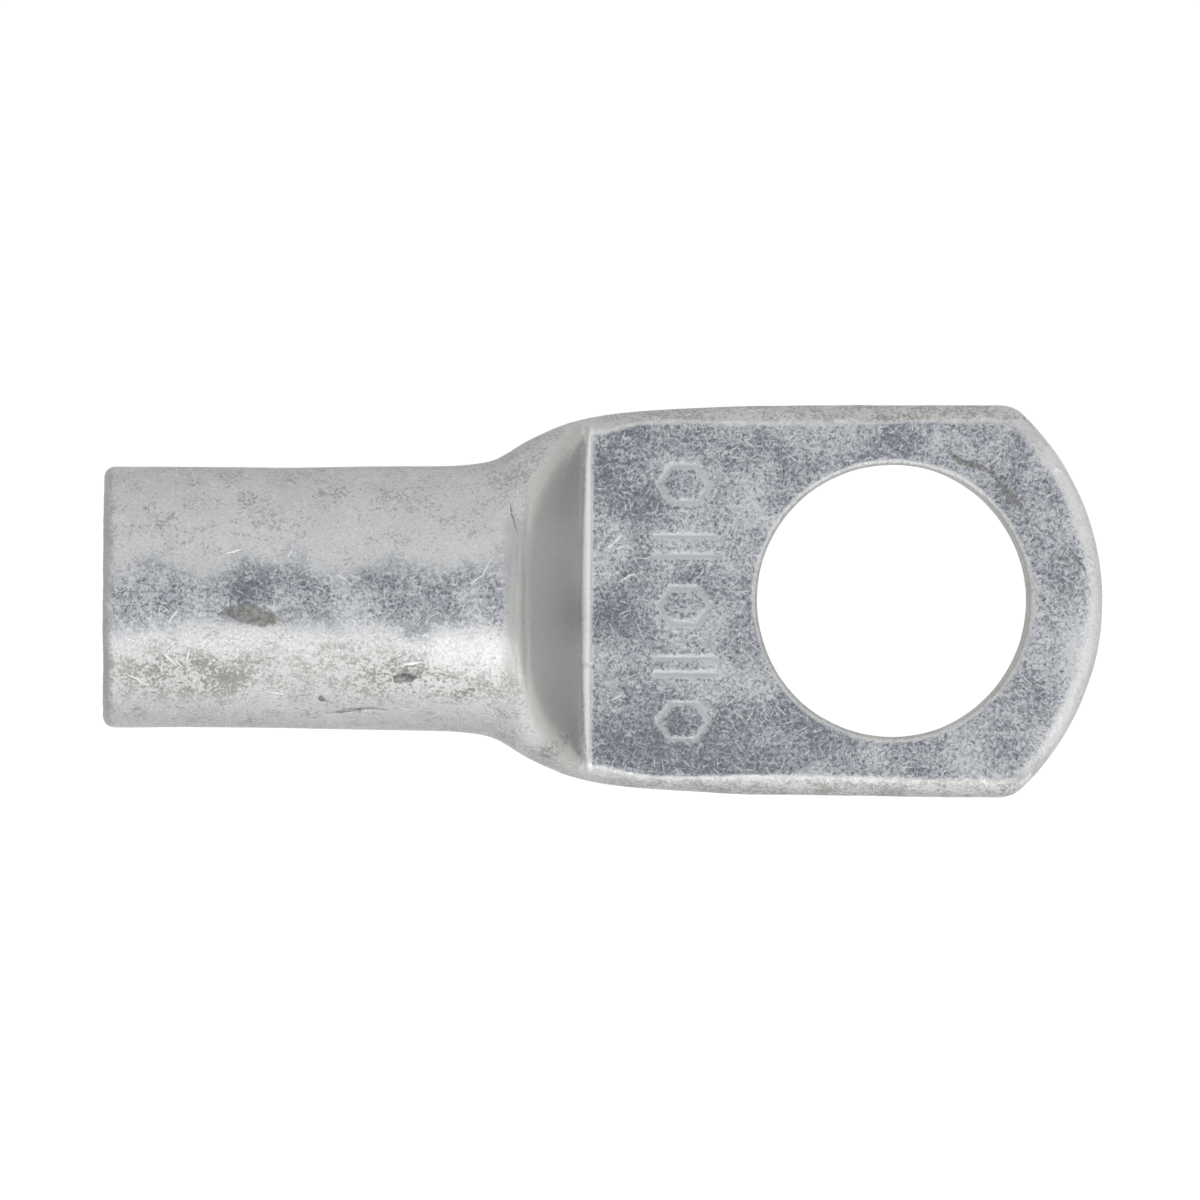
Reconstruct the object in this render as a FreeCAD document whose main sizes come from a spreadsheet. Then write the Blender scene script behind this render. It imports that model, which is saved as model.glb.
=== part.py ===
import FreeCAD, Part
import math
import os

import Sketcher

# Ring terminal made from one length of copper tube.
# The origin is on the stud hole's axis, in the seating face under the palm.
# +Z runs up along the stud, and the barrel that takes the wire points along -X.

# Driving sizes, in millimetres and degrees: name, value, meaning.
DRIVING_SIZES = [
    ("barrel_diameter", 8.0, "outside diameter of the round barrel"),
    ("tube_wall", 1.0, "wall of the tube"),
    ("mouth_to_stud", 24.3, "from the barrel's mouth to the stud axis"),
    ("bore_depth", 10.0, "straight round bore, from the mouth"),
    ("step_to_stud", 9.5, "from the foot of the pressed slope to the stud axis"),
    ("stud_hole_diameter", 8.4, "clearance hole for the stud"),
    ("tip_to_stud", 6.55, "from the stud axis to the tip of the palm"),
    ("end_arc_radius", 8.0, "arc that the palm is cropped to"),
    ("end_corner_radius", 1.2, "rounding between that arc and the palm's sides"),
    ("palm_root_width", 11.15, "width of the palm at the foot of the slope"),
    ("palm_width", 12.2, "width of the palm at its end"),
    ("rim_run", 0.5, "how far the folded side bulges out past the flat"),
    ("root_rim_run", 0.38, "the same at the foot of the slope"),
    ("seat_lift", 2.0, "how far the seating face lies above the barrel's lowest line"),
    ("top_slope_angle", 61.0, "slope pressed into the top, from level"),
    ("under_slope_angle", 32.0, "slope pressed into the underside, from level"),
    ("step_fillet", 0.4, "inner radius at the foot of the top slope"),
    ("under_step_fillet", 0.8, "inner radius at the foot of the lower slope"),
    ("shoulder_radius", 1.3, "outer radius where the barrel's top rolls over into the slope"),
    ("shoulder_drop", 0.184, "how far the top has sunk where that radius begins"),
    ("shoulder_angle", 12.0, "tilt of the top there, from level"),
    ("mouth_edge_depth", 0.4, "bevel round the mouth's outer edge, in towards the axis"),
    ("mouth_edge_run", 0.2, "the same, along the axis"),
    ("mouth_lead_in", 0.2, "chamfer that leads the wire in"),
    ("punch_edge", 0.2, "bevel drawn in by the punch at the top of the stud hole"),
    ("cut_margin", 1.0, "how far each cut runs past the metal"),
    ("corner_margin", 0.02, "how far small corners run past the metal that they meet"),
]

# Sizes that follow from the driving ones.
DERIVED_SIZES = [
    ("barrel_radius", "=barrel_diameter / 2", "outside radius of the barrel"),
    ("bore_radius", "=barrel_radius - tube_wall", "radius of the round bore"),
    ("stud_hole_radius", "=stud_hole_diameter / 2", "radius of the stud hole"),
    ("palm_thickness", "=2 * tube_wall", "two walls, one on the other"),
    ("palm_middle", "=palm_thickness / 2", "height of the line where the walls meet"),
    ("palm_length", "=step_to_stud + tip_to_stud", "foot of the slope to the tip"),
    ("barrel_axis_height", "=barrel_radius - seat_lift", "barrel axis above the seating face"),
    ("barrel_top", "=barrel_axis_height + barrel_radius", "highest line of the barrel"),
    ("slope_run", "=(barrel_top - palm_thickness) / tan(top_slope_angle)", "level length of the top slope"),
    ("rim_radius", "=(rim_run ^ 2 + palm_middle ^ 2) / (2 * rim_run)", "radius of the folded side"),
    ("root_rim_radius", "=(root_rim_run ^ 2 + palm_middle ^ 2) / (2 * root_rim_run)", "the same at the foot"),
    (
        "step_fillet_end",
        "=-step_to_stud + step_fillet * tan(top_slope_angle / 2)",
        "where the flat palm starts",
    ),
    (
        "under_fillet_end",
        "=-step_to_stud + under_step_fillet * tan(under_slope_angle / 2)",
        "the same below",
    ),
    ("shoulder_height", "=barrel_top - shoulder_drop", "height where the top rolls over"),
    ("mouth_edge_foot", "=barrel_radius - mouth_edge_depth", "inner end of the mouth's bevel, from the axis"),
    ("mouth_edge_reach", "=barrel_radius + corner_margin", "its outer end, from the axis"),
    (
        "mouth_edge_end",
        "=mouth_edge_run * (mouth_edge_depth + corner_margin) / mouth_edge_depth",
        "its outer end, along the axis",
    ),
    ("cut_top", "=barrel_top + cut_margin", "upper end of the cuts"),
    ("cut_bottom", "=seat_lift + cut_margin", "lower end of the cuts, down from the seating face"),
    ("cut_end", "=tip_to_stud + 2 * cut_margin", "far end of the cuts"),
    ("cut_side", "=palm_width / 2 + cut_margin", "outer end of the cuts"),
    ("end_arc_centre", "=tip_to_stud - end_arc_radius", "centre of the cropped end's arc"),
    ("end_corner_reach", "=palm_width / 2 + corner_margin", "where the corner arcs end, out from the middle"),
    (
        "end_corner_out",
        "=end_corner_reach - end_corner_radius",
        "centre of a corner arc, out from the middle",
    ),
    (
        "end_corner_along",
        "=end_arc_centre + sqrt((end_arc_radius - end_corner_radius) ^ 2 - end_corner_out ^ 2)",
        "the same, along X",
    ),
]

# Sections of the barrel that stays round: their place as a share of the way from
# the mouth to where the tube starts to swell.
BARREL_SHARES = [0.0, 0.33, 0.66]

# Sections of the pressed neck, from the barrel to just before the foot of the
# slope: distance from the foot as a share of the slope's run, how far the tube has
# spread to the palm's width and how far it has been squashed to the palm's height
# (both 0 on the round barrel), how far its middle has come down, and the half
# angle of the arc across its top.
NECK_SECTIONS = [
    (4.06, 0.000, 0.000, 0.00, 45.0),
    (3.02, 0.029, 0.008, 0.00, 45.0),
    (2.17, 0.042, 0.015, 0.00, 44.0),
    (1.53, 0.095, 0.036, 0.00, 41.0),
    (1.17, 0.245, 0.107, 0.00, 33.0),
    (0.90, 0.480, 0.204, 0.00, 16.0),
    (0.68, 0.640, 0.460, 0.12, 10.0),
    (0.36, 0.845, 0.817, 0.53, 13.0),
]

# Sections of the palm, from the foot of the slope to beyond the tip: distance from
# the foot as a share of the palm's length, and how far it has grown from its width
# and side radius at the foot to those at the end.
PALM_SECTIONS = [
    (0.00, 0.00),
    (0.08, 0.38),
    (0.25, 0.72),
    (0.62, 0.95),
    (0.83, 1.00),
    (1.08, 1.00),
]
PALM_TOP_ANGLE = 15.0

# The closing bore, from the end of its round part to where the two walls meet. Its
# sections stand evenly from the one to the other: how far each has spread, its
# half height as a share of the round bore's, how far its middle has come down, and
# the half angle of the arc across its top.
BORE_SECTIONS = [
    (0.00, 1.000, 0.00, 45.0),
    (0.07, 0.967, 0.00, 43.0),
    (0.21, 0.873, 0.00, 36.0),
    (0.59, 0.473, 0.45, 18.0),
    (0.89, 0.052, 1.00, 3.0),
]
BORE_END_SHARE = 0.29

# Points on each arc of a section that the outside is drawn through.
ARC_STEPS = 4

# Names for the points and axes that a sketch's constraints refer to.
START, END, CENTRE = range(1, 4)
HORIZONTAL_AXIS, VERTICAL_AXIS = range(-1, -3, -1)
ORIGIN = (HORIZONTAL_AXIS, START)

NEAR = 1e-4


class SizeSheet:
    """The spreadsheet of named sizes, filled row by row."""

    def __init__(self, doc):
        self.doc = doc
        self.sheet = doc.addObject("Spreadsheet::Sheet", "sizes")
        self.row = 0

    def add(self, alias, content, meaning):
        self.row += 1
        self.sheet.set(f"A{self.row}", alias)
        self.sheet.set(f"B{self.row}", str(content))
        self.sheet.setAlias(f"B{self.row}", alias)
        self.sheet.set(f"C{self.row}", meaning)

    def value(self, alias):
        return float(getattr(self.sheet, alias))


def add_oval_sizes(sizes, name, station, half_width, half_height, middle, top_angle):
    """Name the sizes of an oval section, two wide arcs above and below and two narrow ones beside."""
    sizes.add(f"{name}_station", station, "place along X")
    sizes.add(f"{name}_width", half_width, "half width")
    sizes.add(f"{name}_height", half_height, "half height")
    sizes.add(f"{name}_middle", middle, "height of its middle")
    sizes.add(f"{name}_angle", top_angle, "half angle of its top arc")
    sizes.add(
        f"{name}_side_radius",
        f"=({name}_height - {name}_width * tan({name}_angle / 2))"
        f" / (cos({name}_angle) - (1 - sin({name}_angle)) * tan({name}_angle / 2))",
        "radius of its side arcs",
    )
    sizes.add(
        f"{name}_joint_out",
        f"={name}_width - {name}_side_radius * (1 - sin({name}_angle))",
        "joint of its arcs, out from the middle",
    )
    sizes.add(f"{name}_joint_up", f"={name}_side_radius * cos({name}_angle)", "the same, up from the middle")
    sizes.add(f"{name}_top_radius", f"={name}_joint_out / sin({name}_angle)", "radius of its top arc")


def add_palm_section_sizes(sizes, name, station, grown):
    """Name the sizes of a palm section, whose side arcs have the radius of the folded tube."""
    side_radius = f"(root_rim_radius + {grown} * (rim_radius - root_rim_radius))"
    half_width = f"(palm_root_width + {grown} * (palm_width - palm_root_width)) / 2"
    height = (
        f"={side_radius} * cos({PALM_TOP_ANGLE})"
        f" + ({half_width} - {side_radius} * (1 - sin({PALM_TOP_ANGLE}))) * tan({PALM_TOP_ANGLE / 2})"
    )
    add_oval_sizes(sizes, name, station, "=" + half_width, height, "=palm_middle", PALM_TOP_ANGLE)


def fill_sizes(sizes):
    """Write every size into the sheet, and return the names of the outside's and the bore's sections."""
    for alias, value, meaning in DRIVING_SIZES:
        sizes.add(alias, value, meaning)
    for alias, formula, meaning in DERIVED_SIZES:
        sizes.add(alias, formula, meaning)
    palm_names = []
    for number, (share, grown) in enumerate(PALM_SECTIONS, 1):
        name = f"palm_{number}"
        add_palm_section_sizes(sizes, name, f"=-step_to_stud + {share} * palm_length", grown)
        palm_names.append(name)
    neck_names = []
    for number, (share, spread, squash, fall, angle) in enumerate(NECK_SECTIONS, 1):
        name = f"neck_{number}"
        add_oval_sizes(
            sizes,
            name,
            f"=-step_to_stud - {share} * slope_run",
            f"=barrel_radius + {spread} * (palm_1_width - barrel_radius)",
            f"=barrel_radius - {squash} * (barrel_radius - palm_1_height)",
            f"=barrel_axis_height - {fall} * (barrel_axis_height - palm_middle)",
            angle,
        )
        neck_names.append(name)
    barrel_names = []
    for number, share in enumerate(BARREL_SHARES, 1):
        name = f"barrel_{number}"
        station = f"=-mouth_to_stud + {share} * (mouth_to_stud + neck_1_station)"
        add_oval_sizes(sizes, name, station, "=barrel_radius", "=barrel_radius", "=barrel_axis_height", 45.0)
        barrel_names.append(name)
    sizes.add("bore_round_end", "=bore_depth - mouth_to_stud", "where the round bore ends")
    sizes.add("bore_end", f"=-step_to_stud - {BORE_END_SHARE} * slope_run", "where the walls meet")
    bore_names = []
    last = len(BORE_SECTIONS) - 1
    for number, (spread, height, fall, angle) in enumerate(BORE_SECTIONS):
        name = f"bore_{number + 1}"
        add_oval_sizes(
            sizes,
            name,
            f"=bore_round_end + {number} / {last} * (bore_end - bore_round_end)",
            f"=bore_radius + {spread} * (palm_1_width - barrel_radius)",
            f"={height} * bore_radius",
            f"=barrel_axis_height - {fall} * (barrel_axis_height - palm_middle)",
            angle,
        )
        bore_names.append(name)
    return barrel_names + neck_names + palm_names, bore_names


def oval_points(sizes, name):
    """Points round an oval section, anticlockwise seen from +X, starting at its +Y side."""
    angle = sizes.value(f"{name}_angle")
    side_radius = sizes.value(f"{name}_side_radius")
    top_radius = sizes.value(f"{name}_top_radius")
    side_centre = sizes.value(f"{name}_width") - side_radius
    top_centre = sizes.value(f"{name}_height") - top_radius
    quarter = []
    for step in range(ARC_STEPS):
        turn = math.radians((90 - angle) * step / ARC_STEPS)
        quarter.append((side_centre + side_radius * math.cos(turn), side_radius * math.sin(turn)))
    for step in range(ARC_STEPS):
        turn = math.radians(90 - angle + angle * step / ARC_STEPS)
        quarter.append((top_radius * math.cos(turn), top_centre + top_radius * math.sin(turn)))
    top = (0.0, sizes.value(f"{name}_height"))
    half = quarter + [top] + [(-out, up) for out, up in reversed(quarter)]
    ring = half + [(-out, -up) for out, up in half[1:-1]]
    station = sizes.value(f"{name}_station")
    middle = sizes.value(f"{name}_middle")
    return [FreeCAD.Vector(station, out, middle + up) for out, up in ring]


def smooth_tube(sizes, names):
    """A solid whose side runs smoothly through the named sections, closed flat at both ends."""
    rings = []
    for name in names:
        points = oval_points(sizes, name)
        ring = Part.BSplineCurve()
        steps = [float(step) for step in range(len(points) + 1)]
        ring.interpolate(Points=points, PeriodicFlag=True, Parameters=steps)
        rings.append(ring)
    stations = [sizes.value(f"{name}_station") for name in names]
    lengthwise = []
    for pole in range(1, rings[0].NbPoles + 1):
        curve = Part.BSplineCurve()
        curve.interpolate(Points=[ring.getPole(pole) for ring in rings], Parameters=stations)
        lengthwise.append(curve)
    across = rings[0]
    along = lengthwise[0]
    surface = Part.BSplineSurface()
    surface.buildFromPolesMultsKnots(
        [curve.getPoles() for curve in lengthwise],
        across.getMultiplicities(),
        along.getMultiplicities(),
        across.getKnots(),
        along.getKnots(),
        True,
        False,
        across.Degree,
        along.Degree,
    )
    side = surface.toShape()
    faces = [side]
    for edge in side.Edges:
        if edge.BoundBox.XLength < NEAR:
            faces.append(Part.Face(Part.Wire([edge])))
    skin = Part.makeCompound(faces)
    skin.sewShape()
    return Part.makeSolid(skin.Shells[0])


def origin_plane(body, role):
    for feature in body.Origin.OriginFeatures:
        if feature.Role == role:
            return feature
    raise ValueError(f"no origin plane {role}")


def add_sketch(body, name, role):
    """Add an empty sketch on one of the body's origin planes."""
    sketch = body.newObject("Sketcher::SketchObject", name)
    sketch.AttachmentSupport = [(origin_plane(body, role), "")]
    sketch.MapMode = "FlatFace"
    return sketch


def bind(sketch, constraint, expression):
    """Add a dimension to the sketch and tie it to the sheet."""
    index = sketch.addConstraint(constraint)
    sketch.setExpression(f"Constraints[{index}]", expression)


def arc(centre, radius, first_angle, last_angle):
    circle = Part.Circle(FreeCAD.Vector(centre[0], centre[1], 0), FreeCAD.Vector(0, 0, 1), radius)
    return Part.ArcOfCircle(circle, math.radians(first_angle), math.radians(last_angle))


def line(first, last):
    return Part.LineSegment(FreeCAD.Vector(first[0], first[1], 0), FreeCAD.Vector(last[0], last[1], 0))


def join(sketch, pairs):
    for (first, first_point), (second, second_point) in pairs:
        sketch.addConstraint(Sketcher.Constraint("Coincident", first, first_point, second, second_point))


def add_oval(body, sizes, name):
    """Sketch one oval section across X, its origin in the section's middle."""
    sketch = add_sketch(body, name, "YZ_Plane")
    sketch.setExpression("AttachmentOffset.Base.y", f"sizes.{name}_middle")
    sketch.setExpression("AttachmentOffset.Base.z", f"sizes.{name}_station")
    angle = sizes.value(f"{name}_angle")
    top_radius = sizes.value(f"{name}_top_radius")
    side_radius = sizes.value(f"{name}_side_radius")
    side_centre = sizes.value(f"{name}_width") - side_radius
    top_centre = sizes.value(f"{name}_height") - top_radius
    right, top, left, bottom = sketch.addGeometry(
        [
            arc((side_centre, 0), side_radius, angle - 90, 90 - angle),
            arc((0, top_centre), top_radius, 90 - angle, 90 + angle),
            arc((-side_centre, 0), side_radius, 90 + angle, 270 - angle),
            arc((0, -top_centre), top_radius, 270 - angle, 270 + angle),
        ],
        False,
    )
    join(
        sketch,
        [
            ((right, END), (top, START)),
            ((top, END), (left, START)),
            ((left, END), (bottom, START)),
            ((bottom, END), (right, START)),
        ],
    )
    sketch.addConstraint(Sketcher.Constraint("Symmetric", top, START, top, END, VERTICAL_AXIS))
    sketch.addConstraint(Sketcher.Constraint("Symmetric", top, START, right, START, HORIZONTAL_AXIS))
    sketch.addConstraint(Sketcher.Constraint("Symmetric", top, END, left, END, HORIZONTAL_AXIS))
    joint_out = sizes.value(f"{name}_joint_out")
    joint_up = sizes.value(f"{name}_joint_up")
    across = Sketcher.Constraint("DistanceX", *ORIGIN, top, START, joint_out)
    bind(sketch, across, f"sizes.{name}_joint_out")
    upward = Sketcher.Constraint("DistanceY", *ORIGIN, top, START, joint_up)
    bind(sketch, upward, f"sizes.{name}_joint_up")
    for geometry in (right, left):
        bind(sketch, Sketcher.Constraint("Radius", geometry, side_radius), f"sizes.{name}_side_radius")
    for geometry in (top, bottom):
        bind(sketch, Sketcher.Constraint("Radius", geometry, top_radius), f"sizes.{name}_top_radius")
    return sketch


def add_circle(body, sizes, name, role, radius_name, height_name=None, station_name=None):
    """Sketch a circle, lifted and moved along the plane's normal by named sizes."""
    sketch = add_sketch(body, name, role)
    if height_name:
        sketch.setExpression("AttachmentOffset.Base.y", f"sizes.{height_name}")
    if station_name:
        sketch.setExpression("AttachmentOffset.Base.z", station_name)
    radius = sizes.value(radius_name)
    circle = sketch.addGeometry(Part.Circle(FreeCAD.Vector(), FreeCAD.Vector(0, 0, 1), radius), False)
    sketch.addConstraint(Sketcher.Constraint("Coincident", circle, CENTRE, *ORIGIN))
    bind(sketch, Sketcher.Constraint("Radius", circle, radius), f"sizes.{radius_name}")
    return sketch


def add_press_profile(body, sizes, name, upper):
    """Sketch the space that one half of the press takes: its slope, its inner radius and its flat."""
    side = 1 if upper else -1
    face = sizes.value("palm_thickness") if upper else 0.0
    far = sizes.value("cut_top") if upper else -sizes.value("cut_bottom")
    angle_name = "top_slope_angle" if upper else "under_slope_angle"
    fillet_name = "step_fillet" if upper else "under_step_fillet"
    fillet_end_name = "step_fillet_end" if upper else "under_fillet_end"
    angle = sizes.value(angle_name)
    fillet = sizes.value(fillet_name)
    flat_start = sizes.value(fillet_end_name)
    cut_end = sizes.value("cut_end")
    centre = (flat_start, face + side * fillet)
    slope_end = (
        centre[0] - fillet * math.sin(math.radians(angle)),
        centre[1] - side * fillet * math.cos(math.radians(angle)),
    )
    if upper:
        shoulder_height = sizes.value("shoulder_height")
        shoulder_radius = sizes.value("shoulder_radius")
        shoulder_angle = sizes.value("shoulder_angle")
        crown_height = shoulder_height - shoulder_radius * math.cos(math.radians(shoulder_angle))
        slope_height = crown_height + shoulder_radius * math.cos(math.radians(angle))
    else:
        slope_height = far
    slope_start = (
        slope_end[0] - abs(slope_height - slope_end[1]) / math.tan(math.radians(angle)),
        slope_height,
    )
    sketch = add_sketch(body, name, "XZ_Plane")
    if upper:
        corner = arc(centre, fillet, 270 - angle, 270)
        corner_first, corner_last = START, END
    else:
        corner = arc(centre, fillet, 90, 90 + angle)
        corner_first, corner_last = END, START
    slope, bend, flat, end = sketch.addGeometry(
        [
            line(slope_start, slope_end),
            corner,
            line((flat_start, face), (cut_end, face)),
            line((cut_end, face), (cut_end, far)),
        ],
        False,
    )
    sketch.addConstraint(Sketcher.Constraint("Tangent", slope, END, bend, corner_first))
    sketch.addConstraint(Sketcher.Constraint("Tangent", bend, corner_last, flat, START))
    join(sketch, [((flat, END), (end, START))])
    sketch.addConstraint(Sketcher.Constraint("Horizontal", flat))
    sketch.addConstraint(Sketcher.Constraint("Vertical", end))
    bind(sketch, Sketcher.Constraint("Radius", bend, fillet), f"sizes.{fillet_name}")
    to_flat = Sketcher.Constraint("DistanceX", flat, START, *ORIGIN, -flat_start)
    bind(sketch, to_flat, f"-sizes.{fillet_end_name}")
    bind(sketch, Sketcher.Constraint("DistanceX", *ORIGIN, flat, END, cut_end), "sizes.cut_end")
    if upper:
        tilt = math.radians(shoulder_angle)
        crown_centre = (slope_start[0] - shoulder_radius * math.sin(math.radians(angle)), crown_height)
        shoulder = (crown_centre[0] + shoulder_radius * math.sin(tilt), shoulder_height)
        ramp_start = (shoulder[0] - (far - shoulder_height) / math.tan(tilt), far)
        crown, ramp, back = sketch.addGeometry(
            [
                arc(crown_centre, shoulder_radius, 90 - angle, 90 - shoulder_angle),
                line(ramp_start, shoulder),
                line((cut_end, far), ramp_start),
            ],
            False,
        )
        sketch.addConstraint(Sketcher.Constraint("Tangent", crown, START, slope, START))
        sketch.addConstraint(Sketcher.Constraint("Tangent", ramp, END, crown, END))
        join(sketch, [((end, END), (back, START)), ((back, END), (ramp, START))])
        bind(sketch, Sketcher.Constraint("DistanceY", *ORIGIN, flat, START, face), "sizes.palm_thickness")
        bind(sketch, Sketcher.Constraint("DistanceY", *ORIGIN, end, END, far), "sizes.cut_top")
        bind(
            sketch,
            Sketcher.Constraint("Angle", flat, START, slope, END, math.radians(180 - angle)),
            f"180 - sizes.{angle_name}",
        )
        bind(sketch, Sketcher.Constraint("Radius", crown, shoulder_radius), "sizes.shoulder_radius")
        to_shoulder = Sketcher.Constraint("DistanceY", *ORIGIN, crown, END, shoulder_height)
        bind(sketch, to_shoulder, "sizes.shoulder_height")
        bind(
            sketch,
            Sketcher.Constraint("Angle", ramp, START, back, END, math.radians(shoulder_angle)),
            "sizes.shoulder_angle",
        )
    else:
        (back,) = sketch.addGeometry([line((cut_end, far), slope_start)], False)
        join(sketch, [((end, END), (back, START)), ((back, END), (slope, START))])
        sketch.addConstraint(Sketcher.Constraint("PointOnObject", flat, START, HORIZONTAL_AXIS))
        bind(sketch, Sketcher.Constraint("DistanceY", end, END, *ORIGIN, -far), "sizes.cut_bottom")
        bind(
            sketch,
            Sketcher.Constraint("Angle", slope, END, flat, START, math.radians(180 - angle)),
            f"180 - sizes.{angle_name}",
        )
    sketch.addConstraint(Sketcher.Constraint("Horizontal", back))
    return sketch


def add_end_profile(body, sizes):
    """Sketch what the cropping blade takes off past the palm's arc and its rounded corners."""
    radius = sizes.value("end_arc_radius")
    centre = sizes.value("end_arc_centre")
    corner_radius = sizes.value("end_corner_radius")
    corner_out = sizes.value("end_corner_out")
    corner_along = sizes.value("end_corner_along")
    reach = sizes.value("end_corner_reach")
    side = sizes.value("cut_side")
    far = sizes.value("cut_end")
    half_angle = math.degrees(math.atan2(corner_out, corner_along - centre))
    sketch = add_sketch(body, "end_profile", "XY_Plane")
    tip, left, right, left_out, right_out, left_side, right_side, back = sketch.addGeometry(
        [
            arc((centre, 0), radius, -half_angle, half_angle),
            arc((corner_along, corner_out), corner_radius, half_angle, 90),
            arc((corner_along, -corner_out), corner_radius, 270, 360 - half_angle),
            line((corner_along, reach), (corner_along, side)),
            line((corner_along, -side), (corner_along, -reach)),
            line((corner_along, side), (far, side)),
            line((far, -side), (corner_along, -side)),
            line((far, side), (far, -side)),
        ],
        False,
    )
    sketch.addConstraint(Sketcher.Constraint("Tangent", tip, END, left, START))
    sketch.addConstraint(Sketcher.Constraint("Tangent", right, END, tip, START))
    join(
        sketch,
        [
            ((left, END), (left_out, START)),
            ((left_out, END), (left_side, START)),
            ((left_side, END), (back, START)),
            ((back, END), (right_side, START)),
            ((right_side, END), (right_out, START)),
            ((right_out, END), (right, START)),
        ],
    )
    for geometry in (left_out, right_out):
        sketch.addConstraint(Sketcher.Constraint("Vertical", geometry))
    for geometry in (left_side, right_side):
        sketch.addConstraint(Sketcher.Constraint("Horizontal", geometry))
    sketch.addConstraint(Sketcher.Constraint("PointOnObject", tip, CENTRE, HORIZONTAL_AXIS))
    sketch.addConstraint(Sketcher.Constraint("Symmetric", left, END, right, START, HORIZONTAL_AXIS))
    sketch.addConstraint(Sketcher.Constraint("Symmetric", left_side, END, right_side, START, HORIZONTAL_AXIS))
    bind(sketch, Sketcher.Constraint("Radius", tip, radius), "sizes.end_arc_radius")
    bind(sketch, Sketcher.Constraint("Radius", left, corner_radius), "sizes.end_corner_radius")
    bind(sketch, Sketcher.Constraint("Radius", right, corner_radius), "sizes.end_corner_radius")
    bind(sketch, Sketcher.Constraint("DistanceX", tip, CENTRE, *ORIGIN, -centre), "-sizes.end_arc_centre")
    bind(sketch, Sketcher.Constraint("DistanceY", *ORIGIN, left, END, reach), "sizes.end_corner_reach")
    bind(sketch, Sketcher.Constraint("DistanceX", *ORIGIN, left, END, corner_along), "sizes.end_corner_along")
    bind(sketch, Sketcher.Constraint("DistanceY", *ORIGIN, left_side, END, side), "sizes.cut_side")
    bind(sketch, Sketcher.Constraint("DistanceX", *ORIGIN, left_side, END, far), "sizes.cut_end")
    return sketch


def add_mouth_profile(body, sizes):
    """Sketch what the bevel takes off the mouth's outer edge, with the barrel's axis as its own."""
    inner = sizes.value("mouth_edge_foot")
    reach = sizes.value("mouth_edge_reach")
    run = sizes.value("mouth_edge_end")
    margin = sizes.value("cut_margin")
    sketch = add_sketch(body, "mouth_profile", "XZ_Plane")
    sketch.setExpression("AttachmentOffset.Base.x", "-sizes.mouth_to_stud")
    sketch.setExpression("AttachmentOffset.Base.y", "sizes.barrel_axis_height")
    bevel, rise, top, front, foot = sketch.addGeometry(
        [
            line((0, inner), (run, reach)),
            line((run, reach), (run, inner + margin)),
            line((run, inner + margin), (-margin, inner + margin)),
            line((-margin, inner + margin), (-margin, inner)),
            line((-margin, inner), (0, inner)),
        ],
        False,
    )
    join(
        sketch,
        [
            ((bevel, END), (rise, START)),
            ((rise, END), (top, START)),
            ((top, END), (front, START)),
            ((front, END), (foot, START)),
            ((foot, END), (bevel, START)),
        ],
    )
    for geometry in (rise, front):
        sketch.addConstraint(Sketcher.Constraint("Vertical", geometry))
    for geometry in (top, foot):
        sketch.addConstraint(Sketcher.Constraint("Horizontal", geometry))
    sketch.addConstraint(Sketcher.Constraint("PointOnObject", bevel, START, VERTICAL_AXIS))
    bind(sketch, Sketcher.Constraint("DistanceY", *ORIGIN, bevel, START, inner), "sizes.mouth_edge_foot")
    bind(sketch, Sketcher.Constraint("DistanceY", *ORIGIN, bevel, END, reach), "sizes.mouth_edge_reach")
    bind(sketch, Sketcher.Constraint("DistanceX", *ORIGIN, bevel, END, run), "sizes.mouth_edge_end")
    bind(sketch, Sketcher.Constraint("DistanceY", bevel, START, top, START, margin), "sizes.cut_margin")
    bind(sketch, Sketcher.Constraint("DistanceX", front, START, *ORIGIN, margin), "sizes.cut_margin")
    return sketch


def checked_cut(body, name, before):
    """Make sure that a cut took metal away and left one solid."""
    body.Document.recompute()
    if not body.Shape.Volume < before - NEAR:
        raise ValueError(f"{name} cuts nothing")
    if len(body.Shape.Solids) != 1:
        raise ValueError(f"{name} leaves {len(body.Shape.Solids)} solids")


def checked_edge(body, name, before):
    """Make sure that an edge feature, too small for the volume to tell, made its faces."""
    body.Document.recompute()
    if not len(body.Shape.Faces) > before:
        raise ValueError(f"{name} makes no face")


def add_through_cut(body, name, profile):
    """Cut all the way through in both directions."""
    body.Document.recompute()
    before = body.Shape.Volume
    pocket = body.newObject("PartDesign::Pocket", name)
    pocket.Profile = profile
    pocket.Type = "ThroughAll"
    pocket.SideType = "Symmetric"
    checked_cut(body, name, before)
    return pocket


def add_edge_feature(body, kind, name, wanted, size_property, expression):
    """Add an edge feature to the edges that the test accepts."""
    body.Document.recompute()
    base = body.Tip
    before = len(base.Shape.Faces)
    names = [f"Edge{number}" for number, edge in enumerate(base.Shape.Edges, 1) if wanted(edge)]
    if not names:
        raise ValueError(f"{name} finds no edge")
    feature = body.newObject(f"PartDesign::{kind}", name)
    feature.Base = (base, names)
    feature.setExpression(size_property, expression)
    checked_edge(body, name, before)
    return feature


def near(first, second):
    return abs(first - second) < NEAR


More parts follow.
